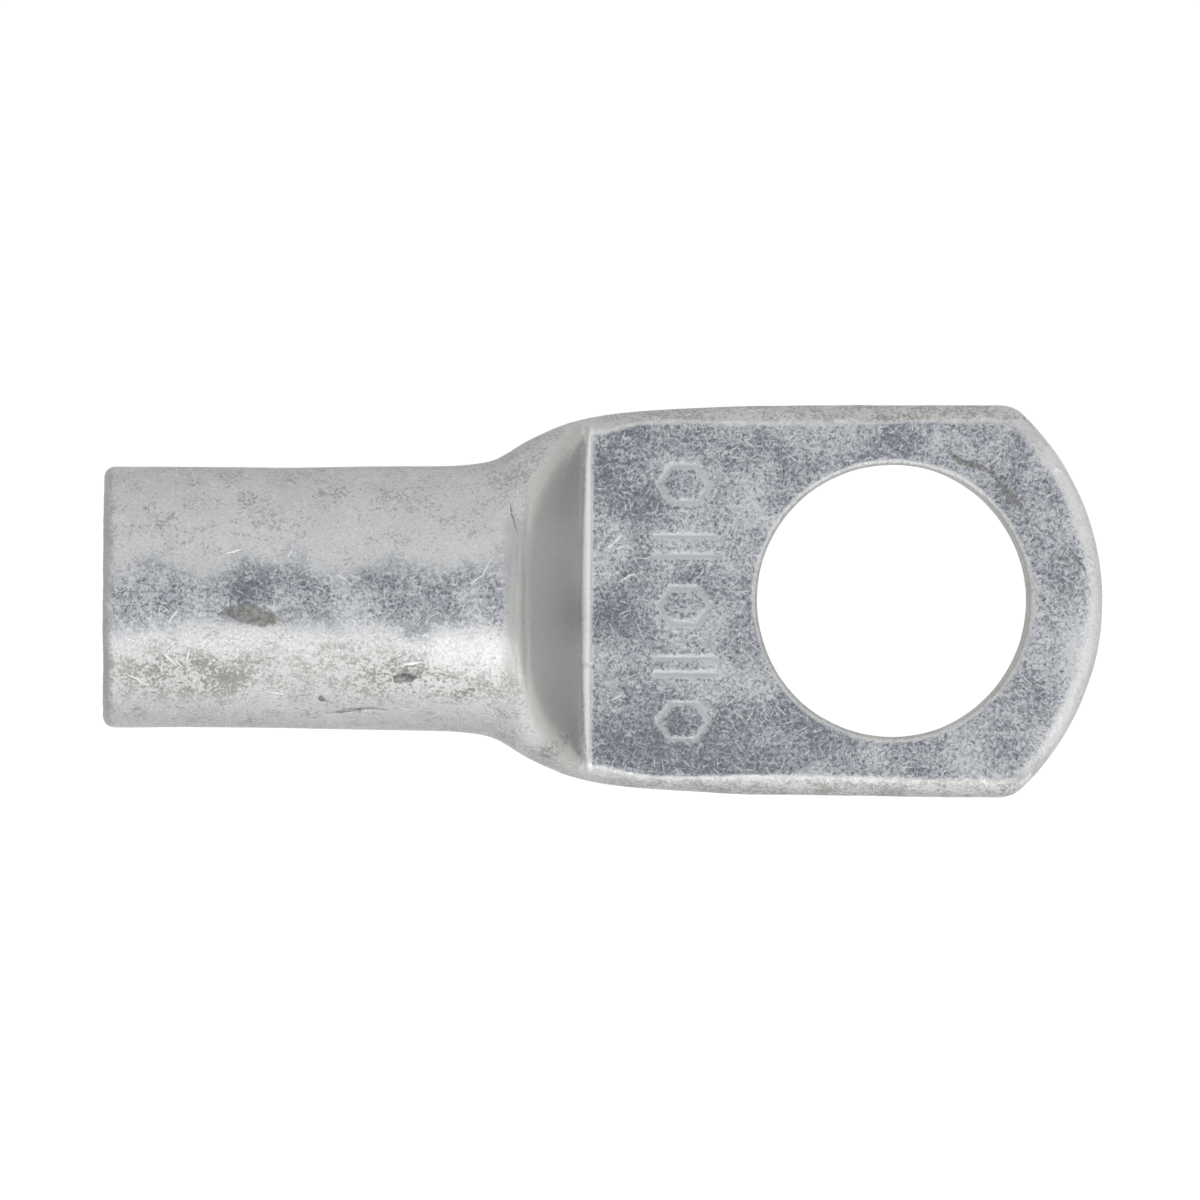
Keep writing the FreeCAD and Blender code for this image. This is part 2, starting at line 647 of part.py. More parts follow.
def make_terminal(doc, sizes, outside_names, bore_names):
    # The outside of the tube, round at the barrel, squashed and spread at the palm.
    outside = doc.addObject("Part::Feature", "tube_outside")
    outside.Label = "tube_outside"
    outside.Shape = smooth_tube(sizes, outside_names)
    outside.Placement = FreeCAD.Placement()
    body = doc.addObject("PartDesign::Body", "terminal_body")
    body.Label = "terminal_body"
    body.BaseFeature = outside
    doc.recompute()

    # The two halves of the press, and the blade that crops the end.
    add_through_cut(body, "top_press", add_press_profile(body, sizes, "top_press_profile", True))
    add_through_cut(body, "under_press", add_press_profile(body, sizes, "under_press_profile", False))
    add_through_cut(body, "cropped_end", add_end_profile(body, sizes))

    # The stud hole.
    hole_ring = add_circle(body, sizes, "stud_hole_ring", "XY_Plane", "stud_hole_radius")
    add_through_cut(body, "stud_hole", hole_ring)

    # The bore that takes the wire, round for its depth, then closing to the seam.
    height_name = "barrel_axis_height"
    station = "-sizes.mouth_to_stud"
    bore_ring = add_circle(body, sizes, "bore_ring", "YZ_Plane", "bore_radius", height_name, station)
    doc.recompute()
    before = body.Shape.Volume
    bore = body.newObject("PartDesign::Pocket", "wire_bore")
    bore.Profile = bore_ring
    bore.Type = "Length"
    bore.Reversed = True
    bore.setExpression("Length", "sizes.bore_depth")
    checked_cut(body, "wire_bore", before)
    before = body.Shape.Volume
    sections = [add_oval(body, sizes, name) for name in bore_names]
    closing = body.newObject("PartDesign::SubtractiveLoft", "closing_bore")
    closing.Profile = sections[0]
    closing.Sections = sections[1:]
    closing.Ruled = True
    checked_cut(body, "closing_bore", before)

    # The mouth's edges, bevelled outside and led in inside.
    doc.recompute()
    before = len(body.Shape.Faces)
    profile = add_mouth_profile(body, sizes)
    bevel = body.newObject("PartDesign::Groove", "mouth_edge")
    bevel.Profile = profile
    bevel.ReferenceAxis = (profile, ["H_Axis"])
    bevel.Angle = 360
    checked_edge(body, "mouth_edge", before)
    mouth = -sizes.value("mouth_to_stud")
    bore_radius = sizes.value("bore_radius")
    hole_radius = sizes.value("stud_hole_radius")
    thickness = sizes.value("palm_thickness")

    def at_bore_mouth(edge):
        box = edge.BoundBox
        return near(box.XMin, mouth) and near(box.XMax, mouth) and near(box.YLength / 2, bore_radius)

    def at_hole_top(edge):
        box = edge.BoundBox
        return near(box.ZMin, thickness) and near(box.ZMax, thickness) and near(box.YLength / 2, hole_radius)

    add_edge_feature(body, "Chamfer", "mouth_chamfer", at_bore_mouth, "Size", "sizes.mouth_lead_in")

    # The edge that the punch draws in.
    add_edge_feature(body, "Chamfer", "hole_edge", at_hole_top, "Size", "sizes.punch_edge")
    return body


def check(doc):
    """Stop if any object failed."""
    for item in doc.Objects:
        if "Invalid" in item.State or "Error" in item.State:
            raise ValueError(f"{item.Name} failed")


def main():
    doc = FreeCAD.newDocument("ring_terminal")
    sizes = SizeSheet(doc)
    outside_names, bore_names = fill_sizes(sizes)
    doc.recompute()
    body = make_terminal(doc, sizes, outside_names, bore_names)
    doc.recompute()
    check(doc)
    shape = body.Shape
    if shape.isNull() or not shape.isValid() or len(shape.Solids) != 1:
        raise ValueError("the terminal is not one valid solid")
    print("volume", round(shape.Volume, 2), shape.BoundBox)
    os.makedirs("parts", exist_ok=True)
    shape.exportStep("parts/terminal_body.step")


main()
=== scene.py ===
import math

import bpy
import numpy as np
from mathutils import Matrix, Vector

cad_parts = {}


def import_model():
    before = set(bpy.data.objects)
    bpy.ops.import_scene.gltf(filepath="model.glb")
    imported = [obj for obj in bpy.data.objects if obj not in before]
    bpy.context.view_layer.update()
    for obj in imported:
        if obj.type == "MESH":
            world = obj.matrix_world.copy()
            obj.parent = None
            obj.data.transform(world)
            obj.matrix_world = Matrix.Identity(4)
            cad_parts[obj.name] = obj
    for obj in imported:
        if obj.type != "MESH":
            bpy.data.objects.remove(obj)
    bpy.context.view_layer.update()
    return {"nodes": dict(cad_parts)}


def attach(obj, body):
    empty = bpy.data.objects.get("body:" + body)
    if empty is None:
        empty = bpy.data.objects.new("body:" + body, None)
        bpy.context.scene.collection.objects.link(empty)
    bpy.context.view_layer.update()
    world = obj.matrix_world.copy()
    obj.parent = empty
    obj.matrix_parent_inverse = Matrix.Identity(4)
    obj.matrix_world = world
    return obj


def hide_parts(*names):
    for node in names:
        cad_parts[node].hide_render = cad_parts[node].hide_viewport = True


# A ring terminal of tin-plated copper tube, seen from straight above.
# Everything here is in the frame of the part: +X runs from the barrel's mouth to
# the palm's tip, and +Z is up along the stud. The shapes are worked out in
# millimetres and turned into metres when the mesh is made.

MM = 0.001
SEED = 16

# The part's own sizes.
MOUTH = -24.3
BARREL_RADIUS = 4.0
AXIS_HEIGHT = 2.0
BARREL_TOP = AXIS_HEIGHT + BARREL_RADIUS
BORE_RADIUS = 3.0
BORE_ROUND_END = -14.3
PALM_TOP = 2.0
SEAM_HEIGHT = PALM_TOP / 2
STEP = -9.5
ROOT_HALF_WIDTH = 5.575
PALM_HALF_WIDTH = 6.1
ROOT_RIM_RUN = 0.38
RIM_RUN = 0.5
HOLE_RADIUS = 4.2
TIP = 6.55
END_ARC_RADIUS = 8.0
END_ARC_CENTRE = TIP - END_ARC_RADIUS
CORNER_RADIUS = 1.2
CORNER_REACH = 6.12
TOP_SLOPE = math.radians(61)
UNDER_SLOPE = math.radians(32)
SHOULDER_SLOPE = math.radians(12)
SHOULDER_HEIGHT = BARREL_TOP - 0.184
SHOULDER_RADIUS = 1.3
FOOT_RADIUS = 0.4
UNDER_FOOT_RADIUS = 0.8
SLOPE_RUN = (BARREL_TOP - PALM_TOP) / math.tan(TOP_SLOPE)
PALM_LENGTH = TIP - STEP

# Sections of the barrel that stays round: their place as a share of the way from
# the mouth to where the tube starts to swell.
BARREL_SHARES = [0.0, 0.33, 0.66]
ROUND_ANGLE = 45

# Sections of the pressed neck: distance from the foot of the slope as a share of
# the slope's run, how far the tube has spread to the palm's width and has been
# squashed to its height, how far its middle has come down, and the half angle of
# the arc across its top in degrees.
NECK_SECTIONS = [
    (4.06, 0.000, 0.000, 0.00, 45),
    (3.02, 0.029, 0.008, 0.00, 45),
    (2.17, 0.042, 0.015, 0.00, 44),
    (1.53, 0.095, 0.036, 0.00, 41),
    (1.17, 0.245, 0.107, 0.00, 33),
    (0.90, 0.480, 0.204, 0.00, 16),
    (0.68, 0.640, 0.460, 0.12, 10),
    (0.36, 0.845, 0.817, 0.53, 13),
]

# Sections of the palm: distance from the foot of the slope as a share of the palm's
# length, and how far it has grown from its width there to its width at the end.
PALM_SECTIONS = [
    (0.00, 0.00),
    (0.08, 0.38),
    (0.25, 0.72),
    (0.62, 0.95),
    (0.83, 1.00),
    (1.08, 1.00),
]
PALM_TOP_ANGLE = 15

# Sections of the closing bore, evenly from the end of its round part to where the
# walls meet: how far each has spread, its half height as a share of the round
# bore's, how far its middle has come down, and the half angle of its top arc.
BORE_SECTIONS = [
    (0.00, 1.000, 0.00, 45),
    (0.07, 0.967, 0.00, 43),
    (0.21, 0.873, 0.00, 36),
    (0.59, 0.473, 0.45, 18),
    (0.89, 0.052, 1.00, 3),
]
BORE_END = STEP - 0.29 * SLOPE_RUN
BORE_SECTIONS_END = -9.0


def fold_radius(run):
    """Radius of the folded tube's side, from how far it bulges out."""
    return (run**2 + SEAM_HEIGHT**2) / (2 * run)


def palm_section(share, grown):
    """A section of the palm, whose sides are the folded tube's."""
    root_radius = fold_radius(ROOT_RIM_RUN)
    side = root_radius + grown * (fold_radius(RIM_RUN) - root_radius)
    width = ROOT_HALF_WIDTH + grown * (PALM_HALF_WIDTH - ROOT_HALF_WIDTH)
    turn = math.radians(PALM_TOP_ANGLE)
    height = side * math.cos(turn) + (width - side * (1 - math.sin(turn))) * math.tan(turn / 2)
    return STEP + share * PALM_LENGTH, width, height, SEAM_HEIGHT, PALM_TOP_ANGLE


def outside_sections():
    """Sections as place along X, half width, half height, height of the middle, half angle."""
    _, root_width, root_height, _, _ = palm_section(*PALM_SECTIONS[0])
    neck = []
    for share, spread, squash, fall, angle in NECK_SECTIONS:
        station = STEP - share * SLOPE_RUN
        width = BARREL_RADIUS + spread * (root_width - BARREL_RADIUS)
        height = BARREL_RADIUS - squash * (BARREL_RADIUS - root_height)
        middle = AXIS_HEIGHT - fall * (AXIS_HEIGHT - SEAM_HEIGHT)
        neck.append((station, width, height, middle, angle))
    swell = neck[0][0]
    barrel = []
    for share in BARREL_SHARES:
        station = MOUTH + share * (swell - MOUTH)
        barrel.append((station, BARREL_RADIUS, BARREL_RADIUS, AXIS_HEIGHT, ROUND_ANGLE))
    return barrel + neck + [palm_section(*row) for row in PALM_SECTIONS]


def bore_sections():
    """The same for the bore, which ends in a slit between the walls."""
    sections = [(MOUTH, BORE_RADIUS, BORE_RADIUS, AXIS_HEIGHT, ROUND_ANGLE)]
    last = len(BORE_SECTIONS) - 1
    for number, (spread, height, fall, angle) in enumerate(BORE_SECTIONS):
        station = BORE_ROUND_END + number / last * (BORE_END - BORE_ROUND_END)
        width = BORE_RADIUS + spread * (ROOT_HALF_WIDTH - BARREL_RADIUS)
        middle = AXIS_HEIGHT - fall * (AXIS_HEIGHT - SEAM_HEIGHT)
        sections.append((station, width, height * BORE_RADIUS, middle, angle))
    sections.append((BORE_SECTIONS_END, *sections[-1][1:]))
    return sections


def smooth_curve(places, values):
    """A natural cubic spline through the values, as a function of arrays."""
    x = np.asarray(places, float)
    y = np.asarray(values, float)
    count = len(x)
    gap = np.diff(x)
    matrix = np.eye(count)
    right = np.zeros(count)
    for i in range(1, count - 1):
        matrix[i, i - 1] = gap[i - 1]
        matrix[i, i] = 2 * (gap[i - 1] + gap[i])
        matrix[i, i + 1] = gap[i]
        right[i] = 6 * ((y[i + 1] - y[i]) / gap[i] - (y[i] - y[i - 1]) / gap[i - 1])
    bend = np.linalg.solve(matrix, right)

    def value(at):
        at = np.clip(at, x[0], x[-1])
        i = np.clip(np.searchsorted(x, at) - 1, 0, count - 2)
        before = at - x[i]
        after = x[i + 1] - at
        return (
            (bend[i] * after**3 + bend[i + 1] * before**3) / (6 * gap[i])
            + (y[i] / gap[i] - bend[i] * gap[i] / 6) * after
            + (y[i + 1] / gap[i] - bend[i + 1] * gap[i] / 6) * before
        )

    return value


class Oval:
    """A tube whose section is an oval of two wide arcs and two narrow ones, changing along X."""

    def __init__(self, sections):
        stations, widths, heights, middles, angles = zip(*sections)
        self.width = smooth_curve(stations, widths)
        self.height = smooth_curve(stations, heights)
        self.middle = smooth_curve(stations, middles)
        self.angle = smooth_curve(stations, np.radians(angles))

    def distance(self, x, y, z):
        """How far outside the oval a point is, measured in its own section."""
        width = self.width(x)
        height = self.height(x)
        angle = self.angle(x)
        half = np.tan(angle / 2)
        side = (height - width * half) / (np.cos(angle) - (1 - np.sin(angle)) * half)
        top = (width - side * (1 - np.sin(angle))) / np.sin(angle)
        out = np.abs(y)
        up = np.abs(z - self.middle(x))
        from_side = out - (width - side)
        on_top = np.arctan2(from_side, np.maximum(up, 1e-9)) < angle
        above = np.hypot(out, up - (height - top)) - top
        beside = np.hypot(from_side, up) - side
        return np.where(on_top, above, beside)


def press_top(x):
    """Height of the upper half of the press."""
    foot_end = STEP + FOOT_RADIUS * math.tan(TOP_SLOPE / 2)
    foot_start = foot_end - FOOT_RADIUS * math.sin(TOP_SLOPE)
    foot_height = PALM_TOP + FOOT_RADIUS * (1 - math.cos(TOP_SLOPE))
    crown_middle = SHOULDER_HEIGHT - SHOULDER_RADIUS * math.cos(SHOULDER_SLOPE)
    crown_end_height = crown_middle + SHOULDER_RADIUS * math.cos(TOP_SLOPE)
    crown_end = foot_start - (crown_end_height - foot_height) / math.tan(TOP_SLOPE)
    crown_along = crown_end - SHOULDER_RADIUS * math.sin(TOP_SLOPE)
    crown_start = crown_along + SHOULDER_RADIUS * math.sin(SHOULDER_SLOPE)
    foot = PALM_TOP + FOOT_RADIUS - np.sqrt(np.maximum(FOOT_RADIUS**2 - (x - foot_end) ** 2, 0))
    slope = foot_height + (foot_start - x) * math.tan(TOP_SLOPE)
    crown = crown_middle + np.sqrt(np.maximum(SHOULDER_RADIUS**2 - (x - crown_along) ** 2, 0))
    ramp = SHOULDER_HEIGHT + (crown_start - x) * math.tan(SHOULDER_SLOPE)
    return np.select(
        [x > foot_end, x > foot_start, x > crown_end, x > crown_start],
        [np.full_like(x, PALM_TOP), foot, slope, crown],
        ramp,
    )


def press_under(x):
    """Height of the lower half of the press."""
    foot_end = STEP + UNDER_FOOT_RADIUS * math.tan(UNDER_SLOPE / 2)
    foot_start = foot_end - UNDER_FOOT_RADIUS * math.sin(UNDER_SLOPE)
    foot_height = -UNDER_FOOT_RADIUS * (1 - math.cos(UNDER_SLOPE))
    foot = -UNDER_FOOT_RADIUS + np.sqrt(np.maximum(UNDER_FOOT_RADIUS**2 - (x - foot_end) ** 2, 0))
    slope = foot_height - (foot_start - x) * math.tan(UNDER_SLOPE)
    return np.select([x > foot_end, x > foot_start], [np.zeros_like(x), foot], slope)


def level_distance(profile, x, z):
    """Distance from a profile that runs across Y, from its height and its slope."""
    step = 0.01
    rise = (profile(x + step) - profile(x - step)) / (2 * step)
    return (z - profile(x)) / np.sqrt(1 + rise**2)


def end_distance(x, y):
    """How far outside the cropped end's outline a point is, seen from above."""
    out = np.abs(y)
    corner_out = CORNER_REACH - CORNER_RADIUS
    corner_along = END_ARC_CENTRE + math.sqrt((END_ARC_RADIUS - CORNER_RADIUS) ** 2 - corner_out**2)
    turn = np.arctan2(out - corner_out, x - corner_along)
    half = math.atan2(corner_out, corner_along - END_ARC_CENTRE)
    arc = np.hypot(x - END_ARC_CENTRE, y) - END_ARC_RADIUS
    corner = np.hypot(x - corner_along, out - corner_out) - CORNER_RADIUS
    side = out - CORNER_REACH
    in_corner = (out > corner_out) & (turn > half) & (x > corner_along)
    return np.where(in_corner, corner, np.where(x > corner_along, arc, side))


def rounded_max(first, second, reach):
    """The larger of two distances, with the edge between them rounded off."""
    near = np.maximum(reach - np.abs(first - second), 0)
    return np.maximum(first, second) + near**2 / (4 * reach)


def fade(value, low, high):
    """0 below low, 1 above high, smooth between."""
    part = np.clip((value - low) / (high - low), 0, 1)
    return part * part * (3 - 2 * part)


# Places along X where a stretch of the form softly starts or ends.
BARREL_END = (-12.0, -11.0)
BEND_START = (-12.3, -11.9)
CROWN_RUN = (-12.9, -11.8)
NECK_START = (-12.9, -12.2)
NECK_END = (-9.9, -9.5)
SLOPE_START = (-11.6, -11.3)
SLOPE_END = (-9.72, -9.62)
PALM_START = (-9.3, -9.1)
PALM_SIDES_START = (-10.0, -8.0)
TIP_START = (4.2, 5.2)

# Heights above which the upper side softly starts, widely and narrowly.
UPPER_SIDE = (1.2, 1.9)
TOP_SIDE = (1.5, 1.9)

# How widely each edge is rounded.
BEND_EDGE = 0.32
SLOPE_EDGE = 0.12
CROP_TOP_EDGE = 0.8
CROP_SIDE_EDGE = 0.12
UNDER_EDGE = 0.2
MOUTH_EDGE = 0.4
HOLE_EDGE = 0.24
BORE_EDGE = 0.2

# How much wider the punch left the hole below, and the depths between which it widens.
HOLE_FLARE = 0.05
FLARE_DEPTHS = (0.2, 2.0)

outside = Oval(outside_sections())
closing = Oval(bore_sections())


def edge_distances(x, y, z):
    """Distances from the skin, the press's two halves and the cropped end."""
    return (
        outside.distance(x, y, z),
        level_distance(press_top, x, z),
        -level_distance(press_under, x, z),
        end_distance(x, y),
    )


def plain_distance(x, y, z):
    """How far outside the terminal a point is, without its marks and dents."""
    skin, top, under, end = edge_distances(x, y, z)
    shoulder = SLOPE_EDGE + (BEND_EDGE - SLOPE_EDGE) * (1 - fade(x, *CROWN_RUN))
    top = rounded_max(top, end, CROP_TOP_EDGE)
    result = rounded_max(skin, top, shoulder)
    result = rounded_max(result, under, UNDER_EDGE)
    result = rounded_max(result, end, CROP_SIDE_EDGE)
    result = rounded_max(result, MOUTH - x, MOUTH_EDGE)
    hole = HOLE_RADIUS + HOLE_FLARE * fade(PALM_TOP - z, *FLARE_DEPTHS)
    result = rounded_max(result, hole - np.hypot(x, y), HOLE_EDGE)
    return rounded_max(result, -closing.distance(x, y, z), BORE_EDGE)


# Cells along each side of the block of random values, which repeats beyond it, and a
# shift that keeps all places above zero and off the cells' borders.
NOISE_CELLS = 32
NOISE_SHIFT = 1000.37


def lattice(seed):
    """Random values at the corners of a repeating block of cells."""
    return np.random.default_rng(SEED + seed).uniform(-1, 1, (NOISE_CELLS, NOISE_CELLS, NOISE_CELLS))


def noise(x, y, z, size, seed):
    """Smooth random bumps between -1 and 1, about one size across."""
    block = lattice(seed)
    result = np.zeros_like(x)
    parts = []
    for value in (x, y, z):
        scaled = value / size + NOISE_SHIFT
        low = np.floor(scaled).astype(int)
        parts.append((low % NOISE_CELLS, fade(scaled - low, 0, 1)))
    (i, u), (j, v), (k, w) = parts
    for di in (0, 1):
        for dj in (0, 1):
            for dk in (0, 1):
                weight = (u if di else 1 - u) * (v if dj else 1 - v) * (w if dk else 1 - w)
                corner = block[(i + di) % NOISE_CELLS, (j + dj) % NOISE_CELLS, (k + dk) % NOISE_CELLS]
                result += weight * corner
    return result


def ragged(x, y, z, seed):
    """Small random bumps, for edges that cutting and pressing left rough."""
    return 0.6 * noise(x, y, z, 0.22, seed) + 0.4 * noise(x, y, z, 0.11, seed + 1)


def ridge(distance, width):
    """1 along a line, falling to 0 beside it."""
    return np.exp(-((distance / width) ** 2))


def spot(x, y, centre, length, width, turn):
    """A soft oval spot, 1 in its middle."""
    angle = math.radians(turn)
    along = (x - centre[0]) * math.cos(angle) + (y - centre[1]) * math.sin(angle)
    over = -(x - centre[0]) * math.sin(angle) + (y - centre[1]) * math.cos(angle)
    return np.exp(-((along / length) ** 2) - (over / width) ** 2)


def segment_distance(x, y, first, last):
    """Distance from the straight line between two points, seen from above."""
    run = np.array(last, float) - np.array(first, float)
    length = float(run @ run)
    share = np.clip(((x - first[0]) * run[0] + (y - first[1]) * run[1]) / length, 0, 1)
    return np.hypot(x - first[0] - share * run[0], y - first[1] - share * run[1])


# Generic stamped marks on the palm, all grooves: six-sided outlines as their middle
# and reach along X, and bars as their two ends.
STAMPED_HEXAGONS = [
    ((-6.46, 3.55), 0.80),
    ((-6.46, -0.20), 0.80),
    ((-6.46, -3.75), 0.80),
]
STAMPED_BARS = [
    ((-7.35, 1.95), (-5.55, 1.95)),
    ((-7.35, 1.35), (-5.55, 1.35)),
    ((-7.35, -1.80), (-5.55, -1.80)),
    ((-7.35, -2.30), (-5.55, -2.30)),
]
HEXAGON_SQUASH = 0.8
STAMP_WIDTH = 0.085
STAMP_DEPTH = 0.018
STAMP_RIM = 0.008
STAMP_RIM_PLACE = 2.2 * STAMP_WIDTH
STAMP_RIM_WIDTH = 0.6 * STAMP_WIDTH
FAR = 9.0


def stamp_distance(x, y):
    """Distance from the middle line of the nearest stamped groove."""
    nearest = np.full_like(x, FAR)
    for (along, out), reach in STAMPED_HEXAGONS:
        corners = []
        for side in range(6):
            turn = math.radians(60 * side)
            corner = (along + reach * math.cos(turn), out + HEXAGON_SQUASH * reach * math.sin(turn))
            corners.append(corner)
        for first, last in zip(corners, corners[1:] + corners[:1]):
            nearest = np.minimum(nearest, segment_distance(x, y, first, last))
    for first, last in STAMPED_BARS:
        nearest = np.minimum(nearest, segment_distance(x, y, first, last))
    return nearest


def stamping(x, y):
    """How far the stamped marks raise the palm: down in the groove, up beside it."""
    stamp = stamp_distance(x, y)
    groove = -STAMP_DEPTH * ridge(stamp, STAMP_WIDTH)
    return groove + STAMP_RIM * ridge(stamp - STAMP_RIM_PLACE, STAMP_RIM_WIDTH)


# Waviness of the whole surface: height, size and seed.
UNEVENNESS = [(0.016, 1.9, 1), (0.007, 0.8, 2), (0.0025, 0.3, 3)]

# Burrs along the edges: width, even rise and ragged rise.
RIM_BURR = (0.09, 0.012, 0.035)
CROP_BURR = (0.10, 0.0, 0.02)
HOLE_BURR = (0.12, 0.0, 0.012)
HOLE_BURR_OUT = 0.1
MOUTH_BURR = (0.25, 0.0, 0.015)
NECK_ROUGHNESS = 0.014
NECK_SIDES = (3.9, 4.5)

# The ridge along the foot of the slope, with a nick across it.
LIP = -9.30
LIP_REACH = 5.25
LIP_WIDTH = 0.05
LIP_RISE = 0.014
NICK_ALONG_LIP = -2.03
NICK_WIDTH = 0.05
NICK_DEPTH = 1.6

# Shallow lines that the press left across the bend: place along X and depth.
PRESS_LINES = [
    (-11.80, 0.022),
    (-11.50, 0.016),
]
PRESS_LINE_WIDTH = 0.07
PRESS_LINE_MIDDLE = 0.2
PRESS_LINE_REACH = 2.7

# Dents and raised nicks: place, half length, half width, turn in degrees, rise.
DENTS = [
    ((-19.80, -0.54), 0.80, 0.24, -8, -0.02),
    ((-15.12, -2.42), 0.34, 0.15, 5, -0.12),
    ((-15.05, -2.14), 0.26, 0.06, 10, 0.05),
    ((-17.65, -3.08), 0.08, 0.08, 0, -0.08),
    ((-16.60, -3.42), 0.75, 0.05, 6, -0.04),
    ((-22.55, -1.95), 0.28, 0.06, 60, 0.04),
    ((-22.90, -1.60), 0.30, 0.05, -40, 0.03),
    ((-8.95, 1.75), 0.34, 0.06, 55, -0.035),
    ((-8.55, 0.75), 0.30, 0.05, 25, -0.035),
    ((-8.50, -3.50), 0.30, 0.05, 10, -0.035),
    ((5.65, 1.15), 0.80, 0.035, -60, -0.03),
    ((4.85, 1.75), 0.35, 0.05, 70, -0.03),
    ((5.05, 4.10), 0.12, 0.06, 0, 0.05),
    ((-6.70, -5.00), 0.65, 0.06, -8, -0.02),
    ((3.75, -5.45), 0.26, 0.09, 10, 0.06),
]


def burr(distance, sizes, rough):
    """How far a burr raises the surface at a distance from its edge."""
    width, even, uneven = sizes
    return ridge(distance, width) * (even + uneven * rough)


def lip_ridge(x, y, z):
    """How far the ridge along the foot of the slope raises the surface."""
    across = fade(LIP_REACH - np.abs(y), 0, 0.25)
    waver = 0.03 * noise(x, y, z, 1.5, 7)
    nick = 1 - NICK_DEPTH * ridge(y - NICK_ALONG_LIP, NICK_WIDTH)
    return LIP_RISE * ridge(x - LIP + waver, LIP_WIDTH) * across * nick


def press_line_depth(x, y, z):
    """How deep the press's lines across the bend are."""
    shift = 0.09 * noise(x, y, z, 0.9, 71) + 0.03 * noise(x, y, z, 0.3, 72)
    across = fade(PRESS_LINE_REACH - np.abs(y - PRESS_LINE_MIDDLE), 0, 0.8)
    return across * sum(depth * ridge(x - line + shift, PRESS_LINE_WIDTH) for line, depth in PRESS_LINES)


def marks(x, y, z):
    """How far all that is worn or pressed into the surface raises it."""
    up = fade(z, *UPPER_SIDE)
    palm = fade(x, *PALM_START) * up
    skin, top, _, end = edge_distances(x, y, z)
    rise = sum(height * noise(x, y, z, size, seed) for height, size, seed in UNEVENNESS)
    rise = rise + palm * stamping(x, y) + up * lip_ridge(x, y, z)
    rough = ragged(x, y, z, 11)
    rise = rise + palm * burr(skin - top, RIM_BURR, rough)
    rise = rise + palm * burr(top - end, CROP_BURR, rough)
    rise = rise + up * burr(HOLE_RADIUS + HOLE_BURR_OUT - np.hypot(x, y), HOLE_BURR, rough)
    rise = rise + burr(x - MOUTH, MOUTH_BURR, ragged(x, y, z, 21))
    neck = fade(x, *NECK_START) * (1 - fade(x, *NECK_END)) * fade(np.abs(y), *NECK_SIDES)
    rise = rise + NECK_ROUGHNESS * neck * ragged(x, y, z, 31)
    rise = rise - up * press_line_depth(x, y, z)
    for centre, length, width, turn, height in DENTS:
        rise = rise + up * height * spot(x, y, centre, length, width, turn)
    return rise


def surface(x, y, z):
    """How far outside the terminal a point is, marks and dents included."""
    return plain_distance(x, y, z) - marks(x, y, z)


# Darker patches on the surface: place, half length, half width, turn in degrees, strength.
PATCHES = [
    ((-19.80, -0.54), 0.95, 0.30, -8, 1.0),
    ((-18.70, -0.40), 0.50, 0.16, 20, 0.6),
    ((-15.12, -2.42), 0.42, 0.20, 5, 1.0),
    ((-17.65, -3.08), 0.12, 0.12, 0, 0.8),
    ((-16.60, -3.42), 1.00, 0.07, 6, 0.5),
    ((-13.30, -2.95), 0.45, 0.20, 15, 0.6),
    ((-19.90, 3.05), 0.45, 0.30, -30, 0.5),
    ((-14.70, 2.30), 0.60, 0.30, 30, 0.3),
    ((2.35, 4.25), 0.95, 0.13, -25, 0.9),
    ((3.55, 3.30), 0.80, 0.15, -50, 0.9),
    ((4.10, 2.70), 0.35, 0.10, -55, 0.6),
    ((5.35, 0.35), 0.30, 0.25, 0, 0.6),
    ((5.10, 1.60), 0.45, 0.10, 60, 0.5),
    ((-0.10, 5.65), 0.80, 0.12, 0, 0.6),
    ((-6.60, 5.75), 0.60, 0.10, 5, 0.5),
    ((-10.40, -4.55), 0.70, 0.30, 40, 0.5),
]

# Where the plating's speckle is crowded, or sparse where the last value is negative:
# place, half length, half width, turn in degrees, strength.
CROWDS = [
    ((-7.70, 3.90), 1.60, 1.20, 0, 0.8),
    ((-7.40, -0.60), 1.20, 1.10, 0, 0.5),
    ((-7.40, -4.30), 2.30, 1.20, 0, 1.0),
    ((-0.30, 4.60), 2.00, 0.50, 0, 0.2),
    ((-2.80, -4.60), 2.00, 1.00, 0, 0.6),
    ((-4.60, 2.10), 1.20, 1.20, 0, -0.8),
    ((-8.95, 1.30), 0.45, 1.20, 0, -1.0),
    ((-5.30, -3.00), 1.00, 0.90, 0, -0.4),
    ((5.60, -0.30), 0.45, 5.00, 0, -0.9),
    # The two rows on the barrel set how dark the painted shade band along its crown is.
    ((-18.50, 0.10), 6.50, 0.60, 0, -0.35),
    ((-19.60, 0.35), 1.60, 0.45, 0, 0.45),
]

# Where grime has gathered, as the patches are given.
GRIME_ALONG_BARREL = [
    ((-21.60, -2.20), 2.20, 0.90, 0, 0.6),
    ((-14.60, -2.30), 2.40, 0.80, 0, 0.6),
]
GRIME_ON_NECK = [
    ((-10.50, -4.40), 0.90, 0.45, 40, 1.0),
    ((-11.60, 3.90), 1.60, 0.80, 30, 0.7),
]

# Where a highlight is painted near the barrel's end, where it curves towards the neck, as the patches are
# given.
PAINTED_HIGHLIGHT_SPOT = ((-13.10, -1.60), 1.50, 0.85, 0)


def patch_share(x, y, z):
    """How far each point lies in one of the darker patches, with ragged borders."""
    ahead = x + 0.10 * noise(x, y, z, 0.35, 51) + 0.04 * noise(x, y, z, 0.12, 52)
    aside = y + 0.10 * noise(x, y, z, 0.35, 53) + 0.04 * noise(x, y, z, 0.12, 54)
    most = np.zeros_like(x)
    for centre, length, width, turn, strength in PATCHES:
        inside = fade(spot(ahead, aside, centre, length, width, turn), 0.2, 0.6)
        most = np.maximum(most, strength * inside)
    return most * fade(z, *UPPER_SIDE)


